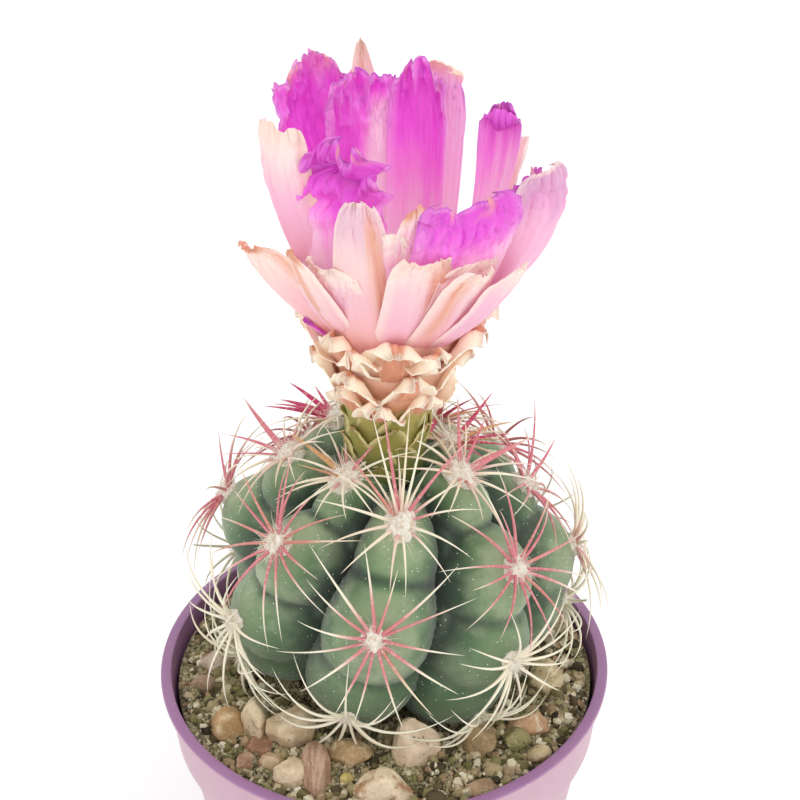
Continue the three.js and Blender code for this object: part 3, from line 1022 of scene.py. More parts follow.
def soil_height(points):
    """Height of the soil's top over points, without its lumps: level at the wall and eased up to
    the heap."""
    radius = np.linalg.norm(points[..., :2], axis=-1)
    return SOIL_TOP + SOIL_HEAP * ease((SOIL_RADIUS - radius) / (SOIL_RADIUS - HEAP_RADIUS))


def soil_surface(look):
    """Rings from the middle of the top out to the wall, lifted by layered noise, then down the
    tapered side to the middle of the flat underside."""
    ring = compass(SOIL_COLUMNS)
    radius = np.linspace(SOIL_HUB, SOIL_RADIUS, SOIL_RINGS)[:, None, None]
    top = radius * ring
    lumps = layered(top / LUMP_SIZE, 3, 4) + CLOD_SHARE * creased(top / CLOD_SIZE, 6) - LUMP_LEVEL
    lumps = lumps * look.roughness_height
    edge = ease((SOIL_RADIUS - radius[..., 0]) / SOIL_EDGE)
    top = top + (soil_height(top) + lumps * edge)[..., None] * UP
    side = SOIL_SIDE[:, 0, None, None] * ring + SOIL_SIDE[:, 1, None, None] * UP
    rings = np.concatenate([top, side])
    start = (SOIL_TOP + SOIL_HEAP) * UP
    return tubes(rings[None], start[None], SOIL_SIDE[-1:, 1:] * UP)


FACET_DEPTHS = (0.62, 0.95)
LEAST_FACING = 0.05
BALL_REACH = 1.08


def stone_shapes(rows, columns, facets, softness, seed, count):
    """Unit stones, shaped (count, rows, columns, 3): along each direction the surface is the soft
    minimum of flat facets at random directions and of a round ball, so edges are worn."""
    chance = np.random.default_rng(seed)
    normal = unit(chance.normal(size=(count, facets, 3)))
    depth = chance.uniform(*FACET_DEPTHS, size=(count, facets))
    way = ball_grid(rows, columns)
    facing = np.einsum("rcx,kfx->krcf", way, normal)
    reach = depth[:, None, None] / np.maximum(facing, LEAST_FACING)
    walls = np.concatenate([reach, np.full((*reach.shape[:-1], 1), BALL_REACH)], axis=-1)
    distance = -softness * np.log(np.sum(np.exp(-walls / softness), axis=-1))
    return way * distance[..., None]


def turned_about(points, turn, tilt):
    """Points tilted about +X and then turned about +Z, by degrees given for each shape."""
    turn, tilt = (np.radians(angle).reshape(-1, 1, 1) for angle in (turn, tilt))
    x, y, z = points[..., 0], points[..., 1], points[..., 2]
    y, z = y * np.cos(tilt) - z * np.sin(tilt), y * np.sin(tilt) + z * np.cos(tilt)
    x, y = x * np.cos(turn) - y * np.sin(turn), x * np.sin(turn) + y * np.cos(turn)
    return np.stack([x, y, z], axis=-1)


def stones_surface(shapes, centres, halves, turns, tilts, values=None):
    """Unit stones pressed into their half sizes, tilted, turned and set down at their centres."""
    pressed = turned_about(shapes * halves[:, None, None], turns, tilts)
    rings = pressed + centres[:, None, None]
    start = rings[:, 0].mean(axis=1)
    end = rings[:, -1].mean(axis=1)
    return tubes(rings, start, end, values)


# Each stone: its centre, half sizes and two colours, and the turn, tilt, facets, wear, share of the
# first colour, stretch of the blotches, depth of the pores and holes that differ from the usual. A
# stone with a node stands for that stone of the frame.
STONE = dict(
    turn=0, tilt=0, facets=8, wear=0.08, share=0.5, streaks=(1.0, 1.0, 1.0), pits=0.0, pitted=False,
    node=False,
)
STONES = {
    "pitted_front": dict(
        place=(5.4, -24.2, 73.2), half=(4.2, 3.3, 5.5), turn=20, tilt=-20, facets=7, wear=0.05,
        main=(220, 198, 172), second=(206, 182, 154), pitted=True, node=True),
    "oval_front": dict(
        place=(-0.2, -33.6, 72.4), half=(5.6, 3.9, 3.5), turn=8, tilt=-12, facets=7, wear=0.14,
        main=(214, 196, 166), second=(160, 120, 84), share=0.43, node=True),
    "brown_oval": dict(
        place=(-6.2, -25.0, 72.7), half=(3.9, 2.9, 2.6), turn=-12, tilt=-10, facets=6, wear=0.14,
        main=(164, 136, 98), second=(206, 190, 158), share=0.4, node=True),
    "streaked_long": dict(
        place=(-11.9, -28.6, 72.2), half=(2.9, 5.6, 2.7), turn=12, tilt=18, facets=7, wear=0.05,
        main=(180, 150, 126), second=(150, 116, 92), streaks=(3.0, 0.5, 0.5), node=True),
    "pale_cube": dict(
        place=(-16.8, -29.0, 72.4), half=(2.9, 2.7, 2.8), turn=25, tilt=-20, facets=6, wear=0.05,
        main=(214, 196, 168), second=(196, 172, 140), node=True),
    "porous_left": dict(
        place=(-16.9, -19.4, 73.6), half=(4.5, 3.4, 4.9), turn=30, tilt=-25, wear=0.05,
        main=(204, 186, 156), second=(182, 158, 124), pits=0.8, node=True),
    "teardrop_left": dict(
        place=(-23.3, -17.3, 73.3), half=(2.9, 3.2, 4.8), turn=-10, tilt=-18, facets=6, wear=0.1,
        main=(206, 188, 156), second=(160, 128, 92), share=0.4, node=True),
    "amber_left": dict(
        place=(-28.7, -16.8, 72.0), half=(2.9, 3.7, 3.6), turn=15, tilt=-15, facets=6, wear=0.12,
        main=(168, 134, 92), second=(198, 178, 142), share=0.42, node=True),
    "red_right": dict(
        place=(26, -17.8, 72.2), half=(4.4, 2.9, 2.3), turn=-8, tilt=-12, facets=6, wear=0.14,
        main=(180, 142, 108), second=(216, 198, 170), share=0.42, node=True),
    "tall_right": dict(
        place=(30.2, -6.6, 72.6), half=(3.3, 3.0, 4.2), turn=30, tilt=-15, facets=7, wear=0.07,
        main=(204, 188, 150), second=(168, 150, 112), node=True),
    "tan_cube": dict(
        place=(-20.6, -25.6, 71.6), half=(2.3, 2.2, 2.2), turn=10, tilt=-20, wear=0.05,
        main=(196, 172, 140), second=(170, 140, 108)),
    "pink_left": dict(
        place=(-25.0, -25.4, 71.3), half=(2.1, 2.0, 1.9), turn=40, facets=9, main=(174, 144, 118),
        second=(150, 114, 90)),
    "red_flat_left": dict(
        place=(-22.2, -21.4, 71.4), half=(3.6, 2.2, 1.7), turn=-8, main=(152, 112, 86),
        second=(128, 92, 68)),
    "grey_far_left": dict(
        place=(-32.7, 1.2, 72.0), half=(3.0, 2.5, 2.3), turn=5, facets=9, main=(196, 180, 160),
        second=(170, 150, 128)),
    "pink_far_left": dict(
        place=(-34.3, -4.4, 71.4), half=(2.5, 2.0, 1.5), turn=30, main=(172, 146, 124),
        second=(146, 120, 98)),
    "green_right": dict(
        place=(23.2, -21.6, 71.9), half=(2.8, 2.4, 2.4), turn=15, wear=0.12, main=(140, 130, 86),
        second=(116, 112, 70)),
    "beige_right": dict(
        place=(27.2, -24.6, 71.6), half=(2.4, 1.9, 1.9), turn=-20, wear=0.1, main=(190, 172, 134),
        second=(158, 138, 104)),
    "pointed_right": dict(
        place=(17.0, -22.0, 72.2), half=(3.2, 2.9, 3.7), turn=15, tilt=-22, facets=7,
        main=(156, 132, 96), second=(130, 108, 76)),
    "olive_small": dict(
        place=(2.2, -19.6, 71.8), half=(2.8, 2.0, 1.5), wear=0.1, main=(150, 132, 92),
        second=(128, 112, 78)),
    "yellow_small": dict(
        place=(-7.1, -29.9, 71.5), half=(1.4, 1.3, 1.2), facets=6, wear=0.14,
        main=(190, 172, 104), second=(168, 150, 92)),
    "tan_flat_front": dict(
        place=(16.6, -32.4, 71.3), half=(3.0, 1.8, 1.2), turn=6, wear=0.1, main=(170, 144, 112),
        second=(146, 118, 90)),
}
STONE_SEED = 100
WEAR = 0.32
DAYLIGHT = 1.3
STONE_ROWS = 44
STONE_COLUMNS = 64
PIT_PLACES = np.array([[0.05, -0.78, 0.62], [0.34, -0.7, 0.62], [-0.2, -0.72, 0.66],
                       [0.45, -0.85, 0.3]])
PIT_RADIUS = 0.09
PIT_DEPTH = 0.07
PIT_STEEPNESS = 1.4


def daylit(shade):
    """Linear colour of a stone's shade, lightened because the shade is as seen in soft shadow."""
    return tuple(min(level * DAYLIGHT, 0.92) for level in screen(*shade))


def stone_surface(stone, seed):
    """One named stone with noise at two scales on its facets. The pitted one gets small round
    holes: a dent of the ease curve round each pit's direction."""
    wear = stone["wear"] * WEAR
    shape = stone_shapes(STONE_ROWS, STONE_COLUMNS, stone["facets"], wear, seed, 1)
    rough = 1 + 0.05 * layered(shape * 2.0, seed, 3) + 0.022 * layered(shape * 8, seed + 5, 3)
    pit = np.zeros(shape.shape[:3])
    if stone["pitted"]:
        away = np.linalg.norm(unit(shape)[..., None, :] - unit(PIT_PLACES), axis=-1)
        pit = ease(PIT_STEEPNESS * (1 - away.min(axis=-1) / PIT_RADIUS))
    shape = shape * (rough - PIT_DEPTH * pit)[..., None]
    return stones_surface(
        shape,
        np.array([stone["place"]]) * MM,
        np.array([stone["half"]]) * MM,
        np.array([stone["turn"]]),
        np.array([stone["tilt"]]),
        {"pit": pit},
    )


GRAIN_ROWS, GRAIN_COLUMNS = 3, 5
GRAIN_SIZES = (0.35 * MM, 1.5 * MM)
GRAIN_SEED = 41
PEBBLE_ROWS, PEBBLE_COLUMNS = 5, 8
PEBBLE_SIZES = (0.9 * MM, 2.4 * MM)
PEBBLE_SEED = 42
GRIT_FACETS = 7
GRIT_WEAR = 0.03
FEW_LARGE = 2.2
BODY_FOOTPRINT = 25.0 * MM


def strewn(count, smallest, largest, seed):
    """Centres on the soil, half sizes, turns, tilts and chances of loose grains. Places are even
    over the disc outside the plant's foot, and those inside a named stone are left out."""
    chance = np.random.default_rng(seed)
    radius = SOIL_RADIUS * 0.985 * np.sqrt(chance.uniform(0.2, 1, count))
    spot = radius[:, None] * heading(chance.uniform(0, 360, count), 90)
    size = smallest * (largest / smallest) ** (chance.uniform(0, 1, count) ** FEW_LARGE)
    halves = size[:, None] * chance.uniform(0.65, 1.15, (count, 3))
    spot = spot + (soil_height(spot) + halves[:, 2] * 0.35)[:, None] * UP
    stone_spots = np.array([s["place"][:2] for s in STONES.values()]) * MM
    stone_reach = np.array([max(s["half"][:2]) for s in STONES.values()]) * MM
    away = np.linalg.norm(spot[:, None, :2] - stone_spots, axis=-1)
    clear = np.all(away > stone_reach * 0.8 + size[:, None] * 0.5, axis=1)
    clear &= np.linalg.norm(spot[:, :2] - BODY_CENTRE[:2], axis=-1) > BODY_FOOTPRINT
    clear &= radius + halves.max(axis=1) < SOIL_RADIUS
    turns = chance.uniform(0, 360, count)
    tilts = chance.uniform(-40, 40, count)
    picks = chance.uniform(0, 1, count)
    return [each[clear] for each in (spot, halves, turns, tilts, picks)]


def grit_surface(count, sizes, rows, columns, seed):
    """Loose grains or pebbles strewn over the soil, each with its own chance value."""
    places, halves, turns, tilts, picks = strewn(count, *sizes, seed)
    shapes = stone_shapes(rows, columns, GRIT_FACETS, GRIT_WEAR, seed, len(places))
    values = {"chance": picks[:, None, None]}
    return stones_surface(shapes, places, halves, turns, tilts, values)


# ---------------------------------------------------------------- cactus body and spines

BODY_ROWS = 200
BODY_COLUMNS = 340
CREST_CLEARANCE = 2.6 * MM
LUMP_HEIGHT = 0.22 * MM
WRINKLE_HEIGHT = 0.3 * MM
GROOVE_SHARPNESS = 0.995

# Tubercle size by polar angle, as shares of the largest. By (rib, tier): how far some of them stand
# out, in mm, and how much wider some are.
TUBERCLE_SHARES = ([20, 40, 62, 80, 115], [0.6, 0.74, 0.9, 1.0, 1.02])
CREST_TRIMS = {
    (1, 2): 1.6,
    (2, 1): -1.0,
    (3, 2): 0.6,
    (4, 4): 1.0,
    (5, 1): -2.0,
    (5, 2): -2.6,
    (5, 3): 0.8,
    (6, 1): -1.5,
}
WIDTH_TRIMS = {
    (3, 1): 1.18,
    (3, 2): 1.14,
    (3, 3): 1.16,
    (4, 4): 1.14,
}


def trimmed(trims, places, usual):
    """Each areole's trim by its (rib, tier) numbers, or the usual value."""
    return np.array([trims.get((int(rib), int(tier)), usual) for rib, tier in places[:, 2:]])


def areole_places():
    """Azimuths after each rib's twist, polar angles, and (rib, tier) numbers of all areoles."""
    rows = [(azimuth - RIB_TWIST * (polar - TWIST_FREE_POLAR), polar, rib + 1, tier + 1)
            for rib, (azimuth, polars) in enumerate(RIBS)
            for tier, polar in enumerate(polars)]
    return np.array(rows, dtype=float)


def rib_groove(way):
    """How far down in a groove a direction lies: 0 on a rib's line and 1 midway between two, with
    m the share of the way by azimuth and 1 - sqrt(1 - m^2) the depth, so that plump ribs meet in
    a sharp valley. It is eased in from the crown and shallower below."""
    azimuth = np.degrees(np.arctan2(way[..., 0], -way[..., 1]))
    polar = np.degrees(np.arccos(np.clip(way[..., 2], -1, 1)))
    starts = np.array([azimuth_start for azimuth_start, _ in RIBS])
    lines = starts - RIB_TWIST * (polar[..., None] - TWIST_FREE_POLAR)
    apart = (azimuth[..., None] - lines + 180) % 360 - 180
    before = np.where(apart >= 0, apart, 360).min(axis=-1)
    after = np.where(apart < 0, -apart, 360).min(axis=-1)
    middle = 1 - np.abs(before - after) / (before + after)
    shallower = 1 - 0.4 * ease((polar - 75) / 40)
    return (1 - np.sqrt(1 - GROOVE_SHARPNESS * middle**2)) * ease((polar - 12) / 20) * shallower


def skin_distance(way, look):
    """Distance from the body's centre to the skin along unit directions: the soft maximum of the
    core's radius and of the far exit from each tubercle's ball, less the grooves between the ribs.
    Also returns how far the farthest of them stands above the next, and the grooves."""
    places = areole_places()
    radius = look.tubercle_radius * np.interp(places[:, 1], *TUBERCLE_SHARES)
    radius = radius * trimmed(WIDTH_TRIMS, places, 1.0)
    reach = look.crest_radius + trimmed(CREST_TRIMS, places, 0.0) * MM - radius
    tubercles = heading(places[:, 0], places[:, 1] + SHOULDER_POLAR)
    along = way @ tubercles.T * reach
    inside = radius**2 - reach**2 + along**2
    exits = np.where((along > 0) & (inside > 0), along + np.sqrt(np.maximum(inside, 0)), 0.0)
    core = np.full((*exits.shape[:-1], 1), look.core_radius)
    reaches = np.sort(np.concatenate([exits, core], axis=-1), axis=-1)
    soft = np.sum(np.exp((reaches - reaches[..., -1:]) / look.seam), axis=-1)
    groove = rib_groove(way)
    distance = reaches[..., -1] + look.seam * np.log(soft) - look.groove * groove
    return distance, reaches[..., -1] - reaches[..., -2], groove


def on_body(offset):
    """Squashes offsets from the body's centre and places them."""
    return offset * np.array([1.0, 1.0, BODY_FLATTENING]) + BODY_CENTRE


def body_surface(look):
    """The skin over a grid of directions, with shallow lumps and finer wrinkles from noise that fade out
    on the open skin. The open value is 0 in a seam or a groove and 1 on a crest, and the skin's colour
    follows it: partly painted shade in the seams and painted light on the crests."""
    way = ball_grid(BODY_ROWS, BODY_COLUMNS)
    distance, clear, groove = skin_distance(way, look)
    crest = ease(clear / CREST_CLEARANCE)
    high = ease((distance - look.core_radius) / (look.crest_radius - look.core_radius))
    lumps = LUMP_HEIGHT * layered(way * 14, 21, 3)
    wrinkles = WRINKLE_HEIGHT * creased(way * np.array([9, 9, 34]), 8) * (1 - crest)
    rings = way * (distance + lumps - wrinkles)[..., None]
    # Openness of the skin, used to paint shade into the grooves and seams and light onto the crests and
    # high points.
    open_and_lit = (0.38 * crest + 0.62 * high) * (1 - 0.55 * groove**0.6)
    poles = np.array([[0.0, 0.0, 1.0], [0.0, 0.0, -1.0]])
    ends = on_body(poles * skin_distance(poles, look)[0][:, None])
    return tubes(on_body(rings)[None], ends[:1], ends[1:], {"open": open_and_lit[None]})


SPINE_RINGS = 14
SPINE_SIDES = 7
FIBRES = 150
FIBRE_RINGS = 4
FIBRE_SIDES = 3
FIBRE_RADIUS = 0.06 * MM
PAD_ROWS, PAD_COLUMNS = 14, 22

# Heights over the middle of the body: where its young areoles begin and how far up they change,
# and the same down from where its old ones begin.
YOUNG_FROM, YOUNG_RANGE = 8 * MM, 14 * MM
OLD_FROM, OLD_RANGE = -2 * MM, 12 * MM

# By polar angle: how much the radial spines sag, their length as a share of the usual one, and how
# far up from the root they are rose.
SPINE_SAG = ([85, 110], [0.0, 0.25])
SPINE_LENGTHS = ([25, 55, 90, 120], [0.78, 0.95, 1.0, 1.05])
SPINE_ROSE = ([37, 50, 62, 76, 88, 100], [0.2, 0.72, 0.72, 0.45, -0.05, -0.4])

# Flat spines by (rib, tier): each row is its angle round the areole in degrees (0 to the right and
# 90 up), its lift off the skin, its length, its half width, and its crimson and ochre shares.
FLAT_SPINES = {
    (1, 1): [(-148, 40, 19, 0.72, 0.15, 0), (-118, 40, 15, 0.5, 0.15, 0), (-60, 45, 14, 0.42, 0.3, 0)],
    (1, 2): [(172, 35, 15, 0.55, 0.35, 0), (-20, 5, 14, 0.85, 0.05, 0)],
    (2, 1): [(172, 15, 15, 0.7, 0.0, 0.85), (-104, 55, 12, 0.5, 0.0, 0.6), (60, 40, 14, 0.4, 0.1, 0)],
    (2, 2): [(84, 38, 20, 0.45, 0.2, 0)],
    (3, 1): [(100, 50, 23, 0.4, 0.1, 0), (48, 30, 20, 0.4, 0.05, 0), (132, 40, 18, 0.36, 0.0, 0.3),
             (82, 56, 25, 0.3, 0, 0.2), (112, 58, 24, 0.3, 0, 0.1), (66, 50, 22, 0.3, 0, 0)],
    (4, 1): [(-20, 25, 15, 0.85, 0.1, 0), (56, 40, 15, 0.5, 0.2, 0), (20, 35, 14, 0.4, 0.3, 0)],
    (4, 2): [(112, 40, 18, 0.42, 0.15, 0)],
    (5, 1): [(-104, 30, 11, 0.75, 0.9, 0), (-52, 40, 14, 0.6, 0.8, 0), (-172, 25, 11, 0.6, 0.9, 0),
             (-80, 35, 14, 0.6, 0.1, 0.8), (-130, 30, 12, 0.65, 0.95, 0), (-150, 40, 14, 0.4, 0, 0.7)],
    (5, 2): [(16, 40, 20, 0.5, 0.35, 0), (-20, 35, 17, 0.45, 0.3, 0)],
    (5, 3): [(-8, 15, 12, 0.45, 0.15, 0)],
    (6, 1): [(124, 50, 12, 0.6, 0.7, 0.1), (148, 40, 14, 0.6, 0.8, 0), (108, 5, 20, 0.8, 1.0, 0),
             (114, 9, 17, 0.7, 1.0, 0), (170, 35, 14, 0.5, 0.1, 0.8), (-170, 40, 15, 0.45, 0.6, 0)],
    (7, 1): [(90, 50, 15, 0.5, 0.4, 0), (150, 40, 14, 0.5, 0.5, 0)],
    (8, 1): [(-76, 30, 14, 1.2, 0.95, 0), (-70, 22, 16, 1.0, 1.0, 0), (-92, 15, 14, 1.1, 0.9, 0),
             (-58, 35, 14, 0.8, 0.8, 0), (-110, 30, 13, 0.6, 0.7, 0), (-84, 44, 15, 0.9, 1.0, 0)],
}
THIN_SPINE = 0.32
SPINE_SWAY = 0.21
FLAT_SPINE = 0.5
SPINE_SEED = 500


def threads(line, above, radius, sides, values=None, flatness=1.0, finish=0):
    """Tubes along middle lines, shaped (count, rings, 3). Each ring is an ellipse square to its
    line, its long half across the above vector and its short half the flatness share of that."""
    tangent = unit(np.gradient(line, axis=1))
    wide = unit(np.cross(tangent, above))
    thick = np.cross(wide, tangent)
    turn = np.linspace(0, 2 * np.pi, sides, endpoint=False)[None, None, :, None]
    ring = wide[:, :, None] * np.cos(turn) + thick[:, :, None] * np.sin(turn) * flatness
    rings = (line[:, :, None] + radius[..., None] * ring)[:, :-1]
    return tubes(rings, line[:, 0], line[:, -1], values, finish=finish)


def spine_tubes(root, outward, normal, lift, lengths, radii, bend, values, flatness=1.0):
    """Round or flat spines from roots, shaped (count, 3). A spine's middle line runs
    root + outward L cos(lift) t + normal L (sin(lift) t - bend t^2) with a sideways sway of t^2,
    and its ring shrinks as (1 - t)^0.75 from root to tip."""
    count = len(lengths)
    normal = np.broadcast_to(normal, (count, 3))
    radii = np.broadcast_to(radii, count)
    t = np.linspace(0, 1, SPINE_RINGS + 1)[None, :, None]
    across = unit(np.cross(outward, normal))
    long, rise, bow = (v.reshape(-1, 1, 1) for v in (lengths, np.radians(lift), bend))
    sway = values["chance"].reshape(-1, 1, 1) - 0.5
    out, up, aside = outward[:, None], normal[:, None], across[:, None]
    line = root[:, None] + long * (
        out * np.cos(rise) * t
        + up * (np.sin(rise) * t - bow * t**2)
        + aside * SPINE_SWAY * sway * t**2
    )
    radius = radii.reshape(-1, 1, 1) * (1 - t) ** 0.75
    spread = {name: v.reshape(-1, 1, 1) for name, v in values.items()}
    spread["along"] = np.broadcast_to(t[:, :-1], (count, SPINE_RINGS, 1))
    return threads(line, up, radius, SPINE_SIDES, spread, flatness, finish=1)


def areole_basis(azimuth, polar, body):
    """The areole's point on the skin, and unit vectors out of the skin, to the right and upward."""
    way = heading(azimuth, polar)
    skin = on_body(way * skin_distance(way, body)[0])
    normal = unit(way / np.array([1.0, 1.0, BODY_FLATTENING]))
    east = unit(np.cross(UP, normal))
    return skin, normal, east, np.cross(normal, east)


def across_skin(basis, around):
    """Unit vectors along the skin at angles round the areole, 0 to the right and a quarter up."""
    return np.cos(around)[:, None] * basis[2] + np.sin(around)[:, None] * basis[3]


def radial_spines(basis, polar, chance, look):
    """The ring of thin spines. Low areoles have long cream ones that sag, and middle ones have
    spines that are rose for most of their length."""
    skin, normal = basis[:2]
    count = look.radials + int(chance.integers(0, 3))
    around = 2 * np.pi * (np.arange(count) + chance.uniform(-0.3, 0.3, count)) / count
    outward = across_skin(basis, around)
    sag = np.interp(polar, *SPINE_SAG)
    lengths = look.spine_length * np.interp(polar, *SPINE_LENGTHS) * chance.uniform(0.84, 1.1, count)
    values = {
        "rose": np.interp(polar, *SPINE_ROSE) + chance.uniform(-0.26, 0.14, count),
        "crimson": chance.uniform(0, 0.25, count) * (polar < 70) * (chance.uniform(0, 1, count) < 0.5),
        "ochre": chance.uniform(0, 0.3, count) * (chance.uniform(0, 1, count) < 0.2),
        "chance": chance.uniform(0, 1, count),
    }
    root = skin + normal * look.pad_height * 0.3 + outward * look.pad_radius * 0.45
    lift = chance.uniform(16, 36, count) + 30 * sag
    bend = chance.uniform(0.3, 0.48, count) + sag
    radii = look.spine_radius * chance.uniform(0.85, 1.15, count)
    return spine_tubes(root, outward, normal, lift, lengths, radii, bend, values)


def flat_spines(basis, rows, chance, look):
    """The few spines of a young areole that stand out, from its rows in the table: stout flat rosy
    ones and thin cream ones."""
    skin, normal = basis[:2]
    angle, lift, long, wide, crimson, ochre = np.array(rows, dtype=float).T
    outward = across_skin(basis, np.radians(angle))
    count = len(rows)
    values = {
        "rose": np.where(wide > THIN_SPINE, 0.85, 0.1),
        "crimson": crimson,
        "ochre": ochre,
        "chance": chance.uniform(0.2, 0.8, count),
    }
    root = skin + normal * look.pad_height * 0.4 + outward * look.pad_radius * 0.2
    bend = chance.uniform(0.05, 0.22, count)
    return spine_tubes(root, outward, normal, lift, long * MM, wide * MM, bend, values, FLAT_SPINE)


def pad_halves(basis, look):
    """Half sizes of a pad: larger and taller upward on the young areoles near the crown, and
    smaller on the old ones low down."""
    above = basis[0][2] - BODY_CENTRE[2]
    young = ease((above - YOUNG_FROM) / YOUNG_RANGE)
    worn = 1 - 0.42 * ease((OLD_FROM - above) / OLD_RANGE)
    wide = look.pad_radius * worn
    return np.array([wide * (1 + 0.25 * young), wide * (1 + 0.6 * young),
                     look.pad_height * worn * (1 + 0.4 * young)])


def wool_pad(basis, chance, look):
    """A lumpy dome of felt: a flattened ball whose radius is shaken by noise."""
    skin, normal, east, north = basis
    way = ball_grid(PAD_ROWS, PAD_COLUMNS)
    size = 1 + 0.28 * layered(way * 2.6, chance.uniform(0, 99), 3)
    shape = way * size[..., None] * pad_halves(basis, look)
    placed = skin + shape @ np.stack([east, north, normal])
    start = placed[0].mean(axis=0)[None]
    return tubes(placed[None], start, placed[-1].mean(axis=0)[None])


def wool_fibres(basis, chance, look):
    """Short curly hairs that stand out of the felt all over its dome, each a thin tube along
    root + way L t + curl L t^2."""
    skin, normal, east, north = basis
    way = unit(chance.normal(size=(FIBRES, 3)) + np.array([0, 0, 0.9]))
    way[:, 2] = np.abs(way[:, 2]) * 0.9 + 0.1
    turn = np.stack([east, north, normal])
    halves = pad_halves(basis, look)
    root = skin + (way * halves) @ turn * 0.9
    lengths = halves[0] * chance.uniform(0.35, 0.85, (FIBRES, 1, 1))
    curl = (chance.normal(size=(FIBRES, 3)) * 0.5) @ turn
    t = np.linspace(0, 1, FIBRE_RINGS)[None, :, None]
    line = root[:, None] + lengths * (unit(way @ turn)[:, None] * t + curl[:, None] * t**2)
    above = unit(chance.normal(size=(FIBRES, 1, 3)))
    return threads(line, above, FIBRE_RADIUS * (1 - 0.7 * t), FIBRE_SIDES)


# ---------------------------------------------------------------- flower

BLADE_ROWS = 104
BLADE_COLUMNS = 60
SCALE_ROWS = 26
SCALE_COLUMNS = 19
SCALE_CRUMPLE = 0.6 * MM
SCALE_SEED_STEP = 20
RIDGE_LEVEL = 0.42

# How a blade is shaped and coloured unless its own row says otherwise. Sizes are in mm, curl and
# twist in radians, and facing, the azimuth that its back looks to, in degrees. Pink gives a tepal a
# petal's finish.
BLADE = dict(
    foot=9.5, sink=3.0, bulge=2.5, facing=None, cup=0.6, flare=0.0, foot_width=0.75, widest=0.62,
    rounds_from=0.72, square=2.4, tip_width=0.25, curl=0.0, curl_from=0.7, crumple=0.5,
    crumple_from=0.55, lips=0.0, lip_depth=0.0, lip_side=0.0, billow=0.0, ragged=0.035, twist=0.0,
    deep=0.0, slant=0.0, slant_to=0.62, rib=0.0, rosy=0.0, scorch=0.0, dusk=0.0, taper=0.0,
    pink=False,
)
PETALS = {
    "petal_back_left": dict(
        tip=(-11.4, 14.5, 187.5), width=15.5, foot=7.2, facing=-145, cup=0.4, square=3.0,
        crumple=1.7, crumple_from=0.5, billow=2.6, ragged=0.2, deep=0.12, slant=-0.08, curl=0.4,
        scorch=0.2, foot_width=0.6, tip_width=0.5),
    "petal_back": dict(
        tip=(-3.3, 14.0, 185.6), width=13.2, foot=6.2, bulge=2, square=5, cup=0.4, crumple=1.4,
        crumple_from=0.5, billow=1.6, ragged=0.05, deep=0.02, slant=-0.85, slant_to=0.8, curl=0.5,
        curl_from=0.8, foot_width=0.7, tip_width=0.7, rounds_from=0.84),
    "petal_back_right": dict(
        tip=(7.7, 13, 188), width=12.4, foot=7.2, cup=1.0, square=2.2, crumple=1.5,
        crumple_from=0.7, billow=2.0, ragged=0.12, deep=0.1, curl=0.6, curl_from=0.84,
        rounds_from=0.6, tip_width=0.34, foot_width=0.85),
    "petal_right_back": dict(
        tip=(20.2, 9.5, 188.4), width=4.7, foot=8.8, bulge=7.0, facing=165, cup=1.0, crumple=0.9,
        crumple_from=0.72, deep=-0.04, slant=-0.08, curl=6.5, curl_from=0.74, rounds_from=0.66,
        tip_width=0.3, square=1.5, ragged=0.0, billow=0.8, foot_width=0.3, widest=0.85,
        taper=-1.2, dusk=0.5),
    "petal_left_folded": dict(
        tip=(-6.2, -4.6, 180.5), width=15.4, foot=7.6, bulge=4.4, facing=-12, crumple=0.9,
        crumple_from=0.5, lips=6.5, lip_depth=1.9, lip_side=-3.0, billow=1.2, ragged=0.12,
        deep=0.08, slant=-0.16, curl=0.5, curl_from=0.8, square=1.5, tip_width=0.2,
        foot_width=0.8, dusk=0.35),
    "petal_front_right": dict(
        tip=(15.6, -12.6, 173.0), width=19.0, foot=7.4, bulge=5, facing=25, square=4, crumple=1.3,
        crumple_from=0.45, billow=0.8, ragged=0.06, deep=-0.07, slant=0.1, curl=0.6,
        curl_from=0.78, tip_width=0.5, foot_width=0.6, dusk=0.36),
    "petal_right": dict(
        tip=(26.0, 0.8, 173.2), width=11, foot=7.4, bulge=8, facing=60, crumple=1.4, billow=1.5,
        ragged=0.14, deep=-0.08, square=3, curl=0.5, foot_width=0.6, dusk=0.5),
}
